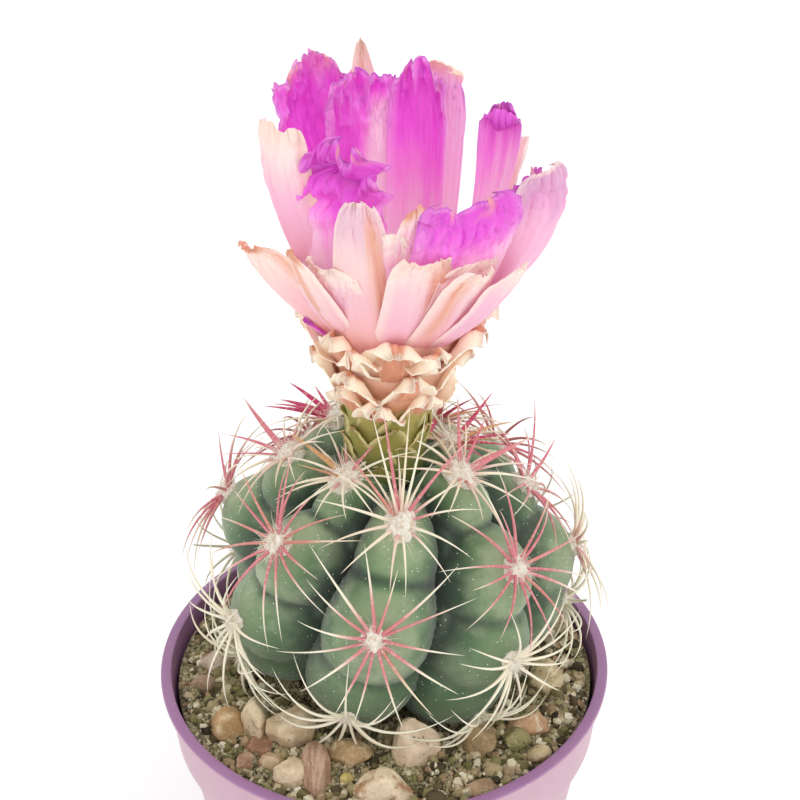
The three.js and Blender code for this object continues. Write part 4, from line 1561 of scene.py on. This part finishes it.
TEPALS = {
    "tepal_left": dict(
        tip=(-17.0, -2, 181.7), width=12.8, foot=8.6, bulge=4.8, facing=-45, cup=0.9, square=3.0,
        crumple=0.45, ragged=0.04, billow=0.8, curl=0.3, rib=-1.0, rosy=1.1, scorch=0.25),
    "tepal_back_right": dict(
        tip=(11.0, 15.5, 188.0), width=11.5, foot=9.0, curl=1.5, curl_from=0.88, crumple=0.3,
        deep=-0.42, tip_width=0.5, square=3, scorch=0.9, pink=True),
    "tepal_back": dict(
        tip=(-2.5, 19.5, 188.5), width=9, foot=9.6, crumple=0.2, tip_width=0.06, rounds_from=0.6,
        square=1.3, scorch=0.4, foot_width=0.9),
    "tepal_right_back": dict(
        tip=(24.5, 11.5, 174.5), width=9, foot=9.2, bulge=2, crumple=0.3, rosy=0.3, rib=1.5),
    "tepal_right": dict(
        tip=(28.2, -0.6, 174.0), width=16, foot=9.4, bulge=11, facing=45, cup=1.0, curl=0.5,
        curl_from=0.84, crumple=0.7, billow=1.2, rosy=2.6, rib=1.6, dusk=0.75, square=3),
    "tepal_front_left": dict(
        tip=(-3.2, -12.8, 172.8), width=15.0, foot=10.8, bulge=2.6, cup=0.9, square=3, curl=0.5,
        facing=-8, curl_from=0.85, crumple=0.45, billow=0.5, rib=-0.5, rosy=0.15, dusk=0.5,
        foot_width=1.0, widest=0.2, taper=0.48),
    "tepal_front": dict(
        tip=(6.8, -11.8, 172.0), width=12.0, foot=9.2, bulge=2.2, square=1.6, curl=1.7,
        curl_from=0.88, crumple=0.4, rib=1.5, rosy=1.4, scorch=1.4, tip_width=0.3,
        rounds_from=0.6, foot_width=1.0, widest=0.2, taper=0.25),
    "tepal_front_right": dict(
        tip=(15.8, -15.0, 162.6), width=13.0, foot=9.8, bulge=2.0, crumple=0.4, rib=0.6, rosy=0.5,
        scorch=0.2, curl=-0.3, tip_width=0.2, square=1.6, foot_width=1.0, widest=0.2, taper=0.2),
    "tepal_right_low": dict(
        tip=(22.5, -10.5, 160.8), width=13, foot=10.0, bulge=3.4, crumple=0.35, rib=1.5, rosy=0.9,
        tip_width=0.12, foot_width=0.95, square=1.6),
    "tepal_left_low": dict(
        tip=(-20.4, -4.6, 163.6), width=14, foot=10.2, bulge=3.2, facing=-28, cup=0.9, curl=-0.9,
        curl_from=0.8, tip_width=0.16, rounds_from=0.5, square=1.3, rib=-0.9, scorch=1.8,
        foot_width=0.9, widest=0.4),
    "tepal_left_inner": dict(
        tip=(-13.9, -8.6, 163.4), width=10.5, foot=9.8, bulge=2.2, crumple=0.4, tip_width=0.06,
        rounds_from=0.5, square=1.2, rib=0.1, rosy=0.1, scorch=1.6, foot_width=1.0),
}
# Inner tepals that close the cup between the named ones.
CUP_TEPALS = {
    "cup_front": dict(
        tip=(1.6, -11.6, 167.0), width=17, foot=8.4, bulge=2.6, crumple=0.4, rosy=1.6, rib=1.5,
        foot_width=1.0, taper=0.2),
    "cup_front_fold": dict(
        tip=(8.6, -14.0, 164.0), width=16, foot=9.6, bulge=2.4, crumple=0.45, curl=-0.5,
        curl_from=0.88, rib=-0.2, rosy=0.5, scorch=0.3, tip_width=0.4, foot_width=1.0, taper=0.15,
        widest=0.2),
    "cup_front_right": dict(
        tip=(16.5, -10.0, 162.0), width=16, foot=8.4, bulge=3.4, crumple=0.4, rosy=1.6, rib=1.5,
        foot_width=1.0),
    "cup_front_left": dict(
        tip=(-8.8, -8.6, 160.4), width=14, foot=8.6, bulge=2.4, crumple=0.4, rosy=0.9, rib=-1.2,
        foot_width=1.0, square=3.2, tip_width=0.4, taper=0.1),
    "cup_left": dict(
        tip=(-14.5, -2.0, 158.0), width=13, foot=9.4, bulge=2.8, crumple=0.3, rosy=0.6, rib=1.5,
        foot_width=1.0),
    "cup_far_left": dict(
        tip=(-13.0, 7.0, 160.0), width=13, foot=9.2, bulge=3.0, crumple=0.4, rosy=1.2, rib=0.3),
    "cup_back_left": dict(
        tip=(-10.5, 15.5, 167.0), width=13, foot=9.4, bulge=3.0, crumple=0.4, rosy=0.8, scorch=0.5),
    "cup_back": dict(
        tip=(5.0, 18.5, 166.0), width=14, foot=9.6, bulge=3.0, crumple=0.4, rosy=0.8, rib=-0.3,
        scorch=0.6),
    "cup_right": dict(
        tip=(20.5, 5.0, 163.0), width=14, foot=9.2, bulge=3.6, crumple=0.4, rosy=1.2, rib=1.5),
}
# Dried scraps that hang on below the cup.
SCRAPS = {
    "violet_scrap": dict(
        tip=(-12.5, -1.6, 147.8), width=1.3, foot=11.2, bulge=0.4, crumple=0.3, dusk=1.0,
        deep=0.6, tip_width=0.1, square=1.2, rounds_from=0.4),
}
# Rings of scales round the tube: height up it and its radius there in mm, how many, their length in
# mm and the ring's turn in degrees.
SCALE_RINGS = [
    (13.0, 7.4, 7, 9.0, -8),
    (17.6, 8.9, 7, 10.2, 20),
    (22.4, 10.1, 7, 12.0, 3),
]
WINGED_RINGS = [(25.6, 10.9, 6, 9.0, 28)]
SCALELET_RINGS = [
    (0.4, 6.8, 7, 5.4, 0),
    (3.4, 7.1, 8, 5.6, 25),
    (6.6, 7.3, 8, 5.8, 3),
    (9.8, 7.1, 8, 6.4, 26),
]


def tube_axis():
    """Unit vector up the leaning flower tube."""
    lean = np.radians(TUBE_LEAN)
    return np.array([np.sin(lean), 0.0, np.cos(lean)])


def blade_width(along, row):
    """Share of full width along a blade: it swells from the foot on a quarter sine and rounds off
    past rounds_from on a superellipse, down to the tip's share. The taper narrows it evenly."""
    swell = np.sin(np.pi / 2 * np.minimum(along / row["widest"], 1))
    swell = row["foot_width"] + (1 - row["foot_width"]) * swell
    past = np.clip((along - row["rounds_from"]) / (1 - row["rounds_from"]), 0, 1)
    round_off = (1 - past ** row["square"]) ** (1 / row["square"])
    return swell * (row["tip_width"] + (1 - row["tip_width"]) * round_off) * (1 - row["taper"] * along)


def blade_line(foot, tip, outward, side, row, rows):
    """Middle line, tangents and inward normals of a blade. The line is the quadratic curve over
    the midpoint pushed outward by the bulge. Past curl_from its tangent is turned inward by the
    curl times the ease curve, and the turned tangents are summed up again from the foot."""
    t = np.linspace(0, 1, rows)[:, None]
    middle = (foot + tip) / 2 + outward * row["bulge"] * MM
    pull = 2 * (1 - t) * (middle - foot) + 2 * t * (tip - middle)
    straight = unit(pull)
    inward = unit(np.cross(side, straight))
    inward = inward * -np.sign(np.sum(inward * outward, axis=-1, keepdims=True))
    turn = row["curl"] * ease((t - row["curl_from"]) / (1 - row["curl_from"]))
    tangent = straight * np.cos(turn) + inward * np.sin(turn)
    inward = inward * np.cos(turn) - straight * np.sin(turn)
    step = tangent * np.linalg.norm(pull, axis=-1, keepdims=True) / (rows - 1)
    line = foot + np.concatenate([np.zeros((1, 3)), np.cumsum((step[1:] + step[:-1]) / 2, axis=0)])
    return line, inward


def follow(table, share):
    """Rows of a table read at shares of its length, by straight blending between rows."""
    places = np.linspace(0, 1, len(table))
    return np.stack([np.interp(share, places, table[:, k]) for k in range(3)], axis=-1)


def torn_reach(t, v, row, seed):
    """How far along the blade each point lies. Layered noise across the blade holds its points
    back by up to the ragged share, which tears the far edge."""
    torn = layered(spots(v * 2.6, seed, 0.0), seed, 4)
    return t * (1 - row["ragged"] * (0.5 + 0.5 * torn) * ease(t * 1.4 - 0.2))


def crinkles(t, v, seed):
    """Crumples of a thin blade, from about -1 to 1: ridged noise in folds that run down the blade,
    plus the same at smaller scales."""
    spot = spots(v * 2.2, t * 4.0, seed)
    large = creased(spot, seed) - RIDGE_LEVEL
    middle = creased(spot * np.array([2.7, 2.4, 1.0]), seed + 9) - RIDGE_LEVEL
    small = creased(spot * np.array([6.5, 5.5, 1.0]), seed + 4) - RIDGE_LEVEL
    return large + 0.55 * middle + 0.28 * small


def blade_surface(foot, tip, outward, facing, row, thickness, rows, columns, crumple_size, seed):
    """A cupped blade. Across it, each row of points is an arc of radius half width / cup about the
    middle line, bent back out at the margins by the flare. Crinkles, lips (a sine along the blade)
    and one slow billow (noise across it) grow from crumple_from to the tip."""
    side = unit(np.cross(facing, UP))
    line, inward = blade_line(foot, tip, outward, side, row, rows)
    t = np.linspace(0, 1, rows)[:, None]
    v = np.linspace(-1, 1, columns)[None]
    reach = torn_reach(t, v, row, seed)
    half = 0.5 * row["width"] * MM * blade_width(reach, row)
    growing = ease((t - row["crumple_from"]) / (1 - row["crumple_from"]))
    fold = crinkles(t, v, seed)
    lip = growing * np.sin(2 * np.pi * row["lips"] * (t - row["crumple_from"]) + 1.2 * v + seed)
    slow = noise(spots(v * 1.3 + seed, 0.0, 0.0), seed)
    veins = layered(spots(v * 8, 0.0, seed), seed + 2, 2)
    dry_spots = creased(spots(v * 3.0, t * 5.0, seed), seed + 3)
    across = half * np.sin(v * row["cup"]) / row["cup"] + row["lip_side"] * MM * np.maximum(lip, 0)
    across = across * (1 - 0.12 * growing * fold)
    depth = (
        half * (1 - np.cos(v * row["cup"])) / row["cup"]
        - row["flare"] * MM * ease((np.abs(v) - 0.4) / 0.6) * ease(t * 3)
        + row["crumple"] * crumple_size * growing * fold
        + row["lip_depth"] * MM * lip
        + row["billow"] * MM * growing * slow
        + 0.1 * crumple_size * (veins + fold) * ease(t * 2)
    )
    turn = row["twist"] * t
    beside = across * np.cos(turn) - depth * np.sin(turn)
    within = across * np.sin(turn) + depth * np.cos(turn)
    middle = follow(line, reach) + side * beside[..., None] + follow(inward, reach) * within[..., None]
    values = {
        "along": reach,
        "across": v,
        "margin": np.maximum(np.abs(v), ease((t - 0.92) / 0.08)),
        # The fold value follows the crumples' relief. From it the petal finish paints highlight on the
        # ridges and shade in the hollows.
        "fold": np.clip(0.5 + 0.6 * growing * fold, 0, 1),
        "dry": ease((dry_spots - 0.7) / 0.3) * ease((t - 0.9) / 0.1),
        "deep": row["deep"] + row["slant"] * v * (1 - ease((t - row["slant_to"]) / 0.22)),
        "rib": row["rib"],
        "rosy": row["rosy"],
        "scorch": row["scorch"],
        "dusk": row["dusk"],
        "chance": (seed * 0.37) % 1,
    }
    thin = thickness * (0.55 + 0.45 * (1 - np.abs(v) ** 4)) * (0.6 + 0.4 * ease((1 - t) * 6))
    return sheet(middle, thin, values)


def flower_blade(row, look, seed):
    """A petal or tepal between the mouth of the tube and its tip."""
    mouth = TUBE_FOOT + tube_axis() * TUBE_MOUTH_HEIGHT
    tip = np.array(row["tip"]) * MM
    outward = unit((tip - mouth) * np.array([1, 1, 0]))
    facing = outward if row["facing"] is None else heading(row["facing"], 90)
    foot = mouth + outward * row["foot"] * MM - UP * row["sink"] * MM
    return blade_surface(foot, tip, outward, facing, row, look.petal_thickness, BLADE_ROWS,
                         BLADE_COLUMNS, look.crumple, seed)


def scale_ring(ring, row, look, seed):
    """A ring of scales round the tube, each with its own small changes of turn, length and lean."""
    height, radius, count, long, turn = ring
    chance = np.random.default_rng(seed)
    centre = TUBE_FOOT + tube_axis() * height * MM
    scales = []
    for number in range(count):
        outward = heading(turn + 360 / count * number + chance.uniform(-8, 8), 90)
        size = long * chance.uniform(0.86, 1.18) * MM
        lean_out = row["lean"] + chance.uniform(-0.08, 0.16)
        foot = centre + outward * (radius - 0.5) * MM
        tip = foot + outward * size * lean_out + tube_axis() * size * row["rise"]
        whole = {**BLADE, **row, "width": row["wide"] * size / MM}
        whole["curl"] = row["curl"] * chance.uniform(0.5, 1.5)
        whole["twist"] = chance.uniform(-0.5, 0.5)
        scales.append(blade_surface(foot, tip, outward, outward, whole, look.scale_thickness,
                                    SCALE_ROWS, SCALE_COLUMNS, SCALE_CRUMPLE, seed + number))
    return joined(scales)


PAPERY = dict(
    wide=1.14, lean=0.34, rise=0.92, bulge=0.7, cup=0.6, flare=2.4, foot_width=0.9, widest=0.3,
    rounds_from=0.34, square=1.3, tip_width=0.03, curl=-1.6, curl_from=0.58, crumple=1.2,
    crumple_from=0.1, ragged=0.05,
)
WINGED = {**PAPERY, "lean": 0.6, "rise": 0.78, "curl": -1.0, "wide": 1.0}
SCALELET = dict(
    wide=1.25, lean=0.05, rise=0.95, bulge=0.5, cup=0.6, flare=0.5, foot_width=0.95, widest=0.3,
    rounds_from=0.3, square=1.5, tip_width=0.04, curl=-0.7, curl_from=0.6, crumple=0.7,
    crumple_from=0.1, ragged=0.1,
)

# The kinds of scale of each piece, with the rings and the first seed of each kind.
SCALES = {
    "papery_scales": [(PAPERY, SCALE_RINGS, 700), (WINGED, WINGED_RINGS, 800)],
    "green_scalelets": [(SCALELET, SCALELET_RINGS, 900)],
}

# The tube's section, as radii and heights above its foot.
TUBE_PROFILE = np.array([
    [0, -1.5], [6.6, -1.5], [7.5, 6], [7.1, 12.5], [8.2, 16], [9.6, 21], [11.0, 26],
    [11.8, 30.5], [10.6, 30.9], [4, 29.5], [0, 29.3],
]) * MM
TUBE_ROUND = 2.0 * MM
TUBE_STEP = 0.5 * MM
TUBE_COLUMNS = 96
TUBE_LUMP_HEIGHT = 0.3 * MM
TUBE_LUMP_SIZE = 2.6 * MM


def tube_surface():
    """The flower's tube: a rounded profile turned about +Z with sideways noise, then leaned about
    +Y and placed."""
    profile = divided(rounded(TUBE_PROFILE, TUBE_ROUND, 6), TUBE_STEP)
    along = np.clip(profile[:, 1] / TUBE_MOUTH_HEIGHT, 0, 1)
    tube = turned(profile, TUBE_COLUMNS, {"along": along})
    way = unit(tube.points * np.array([1, 1, 0]))
    lumps = TUBE_LUMP_HEIGHT * layered(tube.points / TUBE_LUMP_SIZE, 12, 3)
    tube.points = tube.points + way * lumps[:, None]
    lean = np.radians(TUBE_LEAN)
    x, y, z = tube.points.T
    tube.points = np.stack([x * np.cos(lean) + z * np.sin(lean), y,
                            z * np.cos(lean) - x * np.sin(lean)], axis=-1) + TUBE_FOOT
    return tube


STAMENS = 150
STAMEN_SEED = 60
THROAT_RADIUS = 6.0 * MM
THROAT_HEIGHT = 29.0 * MM
FILAMENT_RADIUS = 0.2 * MM
ANTHER_ROWS, ANTHER_COLUMNS = 4, 7
ANTHER_HALVES = np.array([0.34, 0.34, 0.62]) * MM
STIGMA_LOBES = 8
STYLE_LENGTH = 9.0 * MM


def stamens():
    """Filaments that stand in the throat, even over its disc, and lean out and bend over more the
    further out they are rooted, and the anthers, a small long ball at the tip of each."""
    chance = np.random.default_rng(STAMEN_SEED)
    out_share = np.sqrt(chance.uniform(0.02, 1, STAMENS))
    outward = heading(chance.uniform(0, 360, STAMENS), 90)
    throat = TUBE_FOOT + tube_axis() * THROAT_HEIGHT
    root = throat + outward * (THROAT_RADIUS * out_share)[:, None]
    lengths = chance.uniform(5.5, 9.0, STAMENS) * MM
    lift = 88 - 42 * out_share + chance.uniform(-12, 12, STAMENS)
    bend = 0.4 * out_share * chance.uniform(0.2, 1, STAMENS)
    picks = chance.uniform(0, 1, STAMENS)
    filaments = spine_tubes(root, outward, UP, lift, lengths, FILAMENT_RADIUS, bend,
                            {"chance": picks})
    tips = filaments.points.reshape(STAMENS, -1, 3)[:, -1]
    balls = np.broadcast_to(ball_grid(ANTHER_ROWS, ANTHER_COLUMNS),
                            (STAMENS, ANTHER_ROWS, ANTHER_COLUMNS, 3))
    halves = ANTHER_HALVES * chance.uniform(0.75, 1.2, (STAMENS, 1))
    anthers = stones_surface(balls, tips, halves, chance.uniform(0, 360, STAMENS),
                             chance.uniform(-60, 60, STAMENS), {"chance": picks[:, None, None]})
    return [filaments, anthers]


def stigma():
    """The style in the middle of the throat, and the lobes that spread from near its top."""
    middle = TUBE_FOOT + tube_axis() * THROAT_HEIGHT
    count = STIGMA_LOBES + 1
    style = np.arange(count) == 0
    root = middle + np.where(style, 0.0, STYLE_LENGTH)[:, None] * UP
    outward = heading(np.arange(count) * 360 / STIGMA_LOBES, 90)
    lift = np.where(style, 90.0, 38.0)
    lengths = np.where(style, 1.2 * STYLE_LENGTH, 3.0 * MM)
    radii = np.where(style, 0.8 * MM, 0.42 * MM)
    bend = np.where(style, 0.0, 0.25)
    values = {"chance": np.full(count, 0.5), "stigma": np.ones(count)}
    return spine_tubes(root, outward, UP, lift, lengths, radii, bend, values)


# ---------------------------------------------------------------- operators


class CACTUS_OT_pot(bpy.types.Operator):
    """Turn the pot from its profile and cut its drain holes"""

    bl_idname = "cactus.pot"
    bl_label = "Pot"

    def execute(self, context):
        look = context.scene.cactus_pot
        piece = add_piece("pot_shell", pot_surface(look), [pot_plastic(look)], ["pot"])
        cut_drain_holes(piece)
        return {"FINISHED"}


class CACTUS_OT_soil(bpy.types.Operator):
    """Lay the soil and strew grit and small pebbles over it"""

    bl_idname = "cactus.soil"
    bl_label = "Soil and grit"

    def execute(self, context):
        look = context.scene.cactus_soil
        grit = grit_finish(look)
        add_piece("soil_bed", soil_surface(look), [soil_finish(look)], ["soil"])
        grains = grit_surface(look.grains, GRAIN_SIZES, GRAIN_ROWS, GRAIN_COLUMNS, GRAIN_SEED)
        add_piece("grit_grains", grains, [grit], flat=True)
        pebbles = grit_surface(look.pebbles, PEBBLE_SIZES, PEBBLE_ROWS, PEBBLE_COLUMNS, PEBBLE_SEED)
        add_piece("grit_pebbles", pebbles, [grit])
        return {"FINISHED"}


class CACTUS_OT_stones(bpy.types.Operator):
    """Set the larger stones in the soil"""

    bl_idname = "cactus.stones"
    bl_label = "Stones"

    def execute(self, context):
        for number, (name, row) in enumerate(STONES.items()):
            stone = {**STONE, **row}
            nodes = [f"stone_{name}"] if stone["node"] else []
            surface = stone_surface(stone, STONE_SEED + number)
            add_piece(f"worn_{name}", surface, [stone_finish(name, stone)], nodes)
        return {"FINISHED"}


class CACTUS_OT_body(bpy.types.Operator):
    """Grow the cactus body with its tubercles"""

    bl_idname = "cactus.body"
    bl_label = "Body"

    def execute(self, context):
        look = context.scene.cactus_body
        skin = skin_finish(look)
        add_piece("body_skin", body_surface(look), [skin], ["cactus_body"])
        return {"FINISHED"}


class CACTUS_OT_spines(bpy.types.Operator):
    """Set a woolly pad and its spines on every areole"""

    bl_idname = "cactus.spines"
    bl_label = "Areoles and spines"

    def execute(self, context):
        look = context.scene.cactus_spines
        body = context.scene.cactus_body
        finishes = [wool_finish(look), spine_finish(look)]
        for number, (azimuth, polar, rib, tier) in enumerate(areole_places()):
            chance = np.random.default_rng(SPINE_SEED + number)
            basis = areole_basis(azimuth, polar, body)
            parts = [
                wool_pad(basis, chance, look),
                wool_fibres(basis, chance, look),
                radial_spines(basis, polar, chance, look),
            ]
            rows = FLAT_SPINES.get((int(rib), int(tier)))
            if rows:
                parts.append(flat_spines(basis, rows, chance, look))
            name = f"rib{int(rib)}_tier{int(tier)}"
            add_piece(f"areole_{name}", joined(parts), finishes, [f"spine_cluster_{name}"])
        return {"FINISHED"}


class CACTUS_OT_flower_tube(bpy.types.Operator):
    """Grow the flower's green base, its dry scales and the stamens in its throat"""

    bl_idname = "cactus.flower_tube"
    bl_label = "Flower tube"

    def execute(self, context):
        look = context.scene.cactus_flower
        add_piece("tube_core", tube_surface(), [tube_finish(look)], ["flower_tube"])
        for (name, kinds), finish in zip(SCALES.items(), (scale_finish(look), scalelet_finish(look))):
            rings = [scale_ring(ring, row, look, seed + SCALE_SEED_STEP * n)
                     for row, table, seed in kinds
                     for n, ring in enumerate(table)]
            add_piece(name, joined(rings), [finish])
        add_piece("withered_stamens", joined([*stamens(), stigma()]),
                  [anther_finish(), filament_finish(look)])
        return {"FINISHED"}


class CACTUS_OT_petals(bpy.types.Operator):
    """Grow the crumpled petals and the pale tepals round the mouth of the tube"""

    bl_idname = "cactus.petals"
    bl_label = "Petals and tepals"

    def execute(self, context):
        look = context.scene.cactus_flower
        magenta = petal_finish(look)
        pale = tepal_finish(look)
        kinds = [
            (PETALS, magenta, "petal", True),
            (TEPALS, pale, "tepal", True),
            (CUP_TEPALS, pale, "tepal", False),
            (SCRAPS, magenta, "petal", False),
        ]
        for table, usual, slot, stands_for_node in kinds:
            for number, (name, row) in enumerate(table.items()):
                blade = {**BLADE, **row}
                surface = flower_blade(blade, look, number + len(table))
                finish = magenta if blade["pink"] else usual
                nodes = [name] if stands_for_node else []
                add_piece(f"wilted_{name}", surface, [finish], nodes)
        return {"FINISHED"}


CAMERA_PLACE = np.array([0.0, -213.197, 256.513]) * MM
CAMERA_RIGHT = (0.999789, -0.019517, -0.006366)
CAMERA_UP = (0.015389, 0.507309, 0.861627)
CAMERA_AHEAD = (0.013587, 0.861543, -0.507503)
CAMERA_LENS = 64.69
SENSOR_WIDTH = 36.0
NEAREST_SEEN = 0.01
FARTHEST_SEEN = 20.0
FLOOR_RADIUS = 4.0
FLOOR_THICKNESS = 10 * MM
FLOOR_COLUMNS = 96
KEY_AZIMUTH = 32
KEY_POLAR = 38
KEY_SPREAD = 50


class CACTUS_OT_stage(bpy.types.Operator):
    """Lay the pale floor, light it softly and set the camera at the viewing angle"""

    bl_idname = "cactus.stage"
    bl_label = "Stage"

    def execute(self, context):
        look = context.scene.cactus_stage
        add_floor(look)
        add_sky(look)
        add_key_light(look)
        add_camera()
        return {"FINISHED"}


def add_floor(look):
    """A wide flat disc under the pot, as stage."""
    ring = compass(FLOOR_COLUMNS) * FLOOR_RADIUS
    under = -UP * FLOOR_THICKNESS
    rings = np.stack([ring, ring + under])[None]
    surface = tubes(rings, np.zeros((1, 3)), under[None])
    floor = mesh_object("floor", surface, [floor_finish(look)], flat=True)


def add_sky(look):
    """An even near-white world light."""
    world = bpy.data.worlds.new("sky")
    world.use_nodes = True
    background = world.node_tree.nodes["Background"]
    background.inputs["Color"].default_value = (1.0, 1.0, 1.0, 1.0)
    background.inputs["Strength"].default_value = look.sky
    bpy.context.scene.world = world
    bpy.context.scene.view_settings.view_transform = "Standard"


def add_key_light(look):
    """A very wide soft light from high on the right, as even over the floor as a lit ceiling."""
    lamp = bpy.data.lights.new("key", "SUN")
    lamp.energy = look.key
    lamp.angle = np.radians(KEY_SPREAD)
    holder = bpy.data.objects.new("key", lamp)
    back = heading(KEY_AZIMUTH, KEY_POLAR)
    right = unit(np.cross(UP, back))
    set_pose(holder, right, np.cross(back, right), back, back)
    bpy.context.scene.collection.objects.link(holder)


def set_pose(holder, right, upward, back, place):
    """Turns and places an object by its three axes."""
    rows = np.column_stack([right, upward, back, place])
    holder.matrix_world = Matrix([*rows.tolist(), [0.0, 0.0, 0.0, 1.0]])


def add_camera():
    """The camera at the viewing angle, with a square frame's lens."""
    camera = bpy.data.cameras.new("view")
    camera.lens = CAMERA_LENS
    camera.sensor_width = SENSOR_WIDTH
    camera.clip_start = NEAREST_SEEN
    camera.clip_end = FARTHEST_SEEN
    holder = bpy.data.objects.new("view", camera)
    set_pose(holder, CAMERA_RIGHT, CAMERA_UP, -np.array(CAMERA_AHEAD), CAMERA_PLACE)
    bpy.context.scene.collection.objects.link(holder)
    bpy.context.scene.camera = holder


class CACTUS_PT_build(bpy.types.Panel):
    """Lists the pieces in the order they are built"""

    bl_label = "Potted round cactus"
    bl_idname = "CACTUS_PT_build"
    bl_space_type = "VIEW_3D"
    bl_region_type = "UI"
    bl_category = "Cactus"

    def draw(self, context):
        for operator in OPERATORS:
            self.layout.operator(operator.bl_idname)
        for name in LOOKS:
            box = self.layout.box()
            look = getattr(context.scene, name)
            for key in look.bl_rna.properties.keys():
                if key not in ("rna_type", "name"):
                    box.prop(look, key)


LOOKS = {
    "cactus_pot": PotLook,
    "cactus_soil": SoilLook,
    "cactus_body": BodyLook,
    "cactus_spines": SpineLook,
    "cactus_flower": FlowerLook,
    "cactus_stage": StageLook,
}
OPERATORS = [
    CACTUS_OT_pot,
    CACTUS_OT_soil,
    CACTUS_OT_stones,
    CACTUS_OT_body,
    CACTUS_OT_spines,
    CACTUS_OT_flower_tube,
    CACTUS_OT_petals,
    CACTUS_OT_stage,
]
CLASSES = [*LOOKS.values(), *OPERATORS, CACTUS_PT_build]


def register():
    """Registers the classes and hangs the property groups on the scene."""
    for made_class in CLASSES:
        bpy.utils.register_class(made_class)
    for name, look in LOOKS.items():
        setattr(bpy.types.Scene, name, PointerProperty(type=look))


def unregister():
    """Takes the property groups and the classes away again."""
    for name in LOOKS:
        delattr(bpy.types.Scene, name)
    for made_class in reversed(CLASSES):
        bpy.utils.unregister_class(made_class)


def main():
    """Builds every piece in order."""
    register()
    bpy.ops.cactus.pot()
    bpy.ops.cactus.soil()
    bpy.ops.cactus.stones()
    bpy.ops.cactus.body()
    bpy.ops.cactus.spines()
    bpy.ops.cactus.flower_tube()
    bpy.ops.cactus.petals()
    bpy.ops.cactus.stage()


if __name__ == "__main__":
    main()
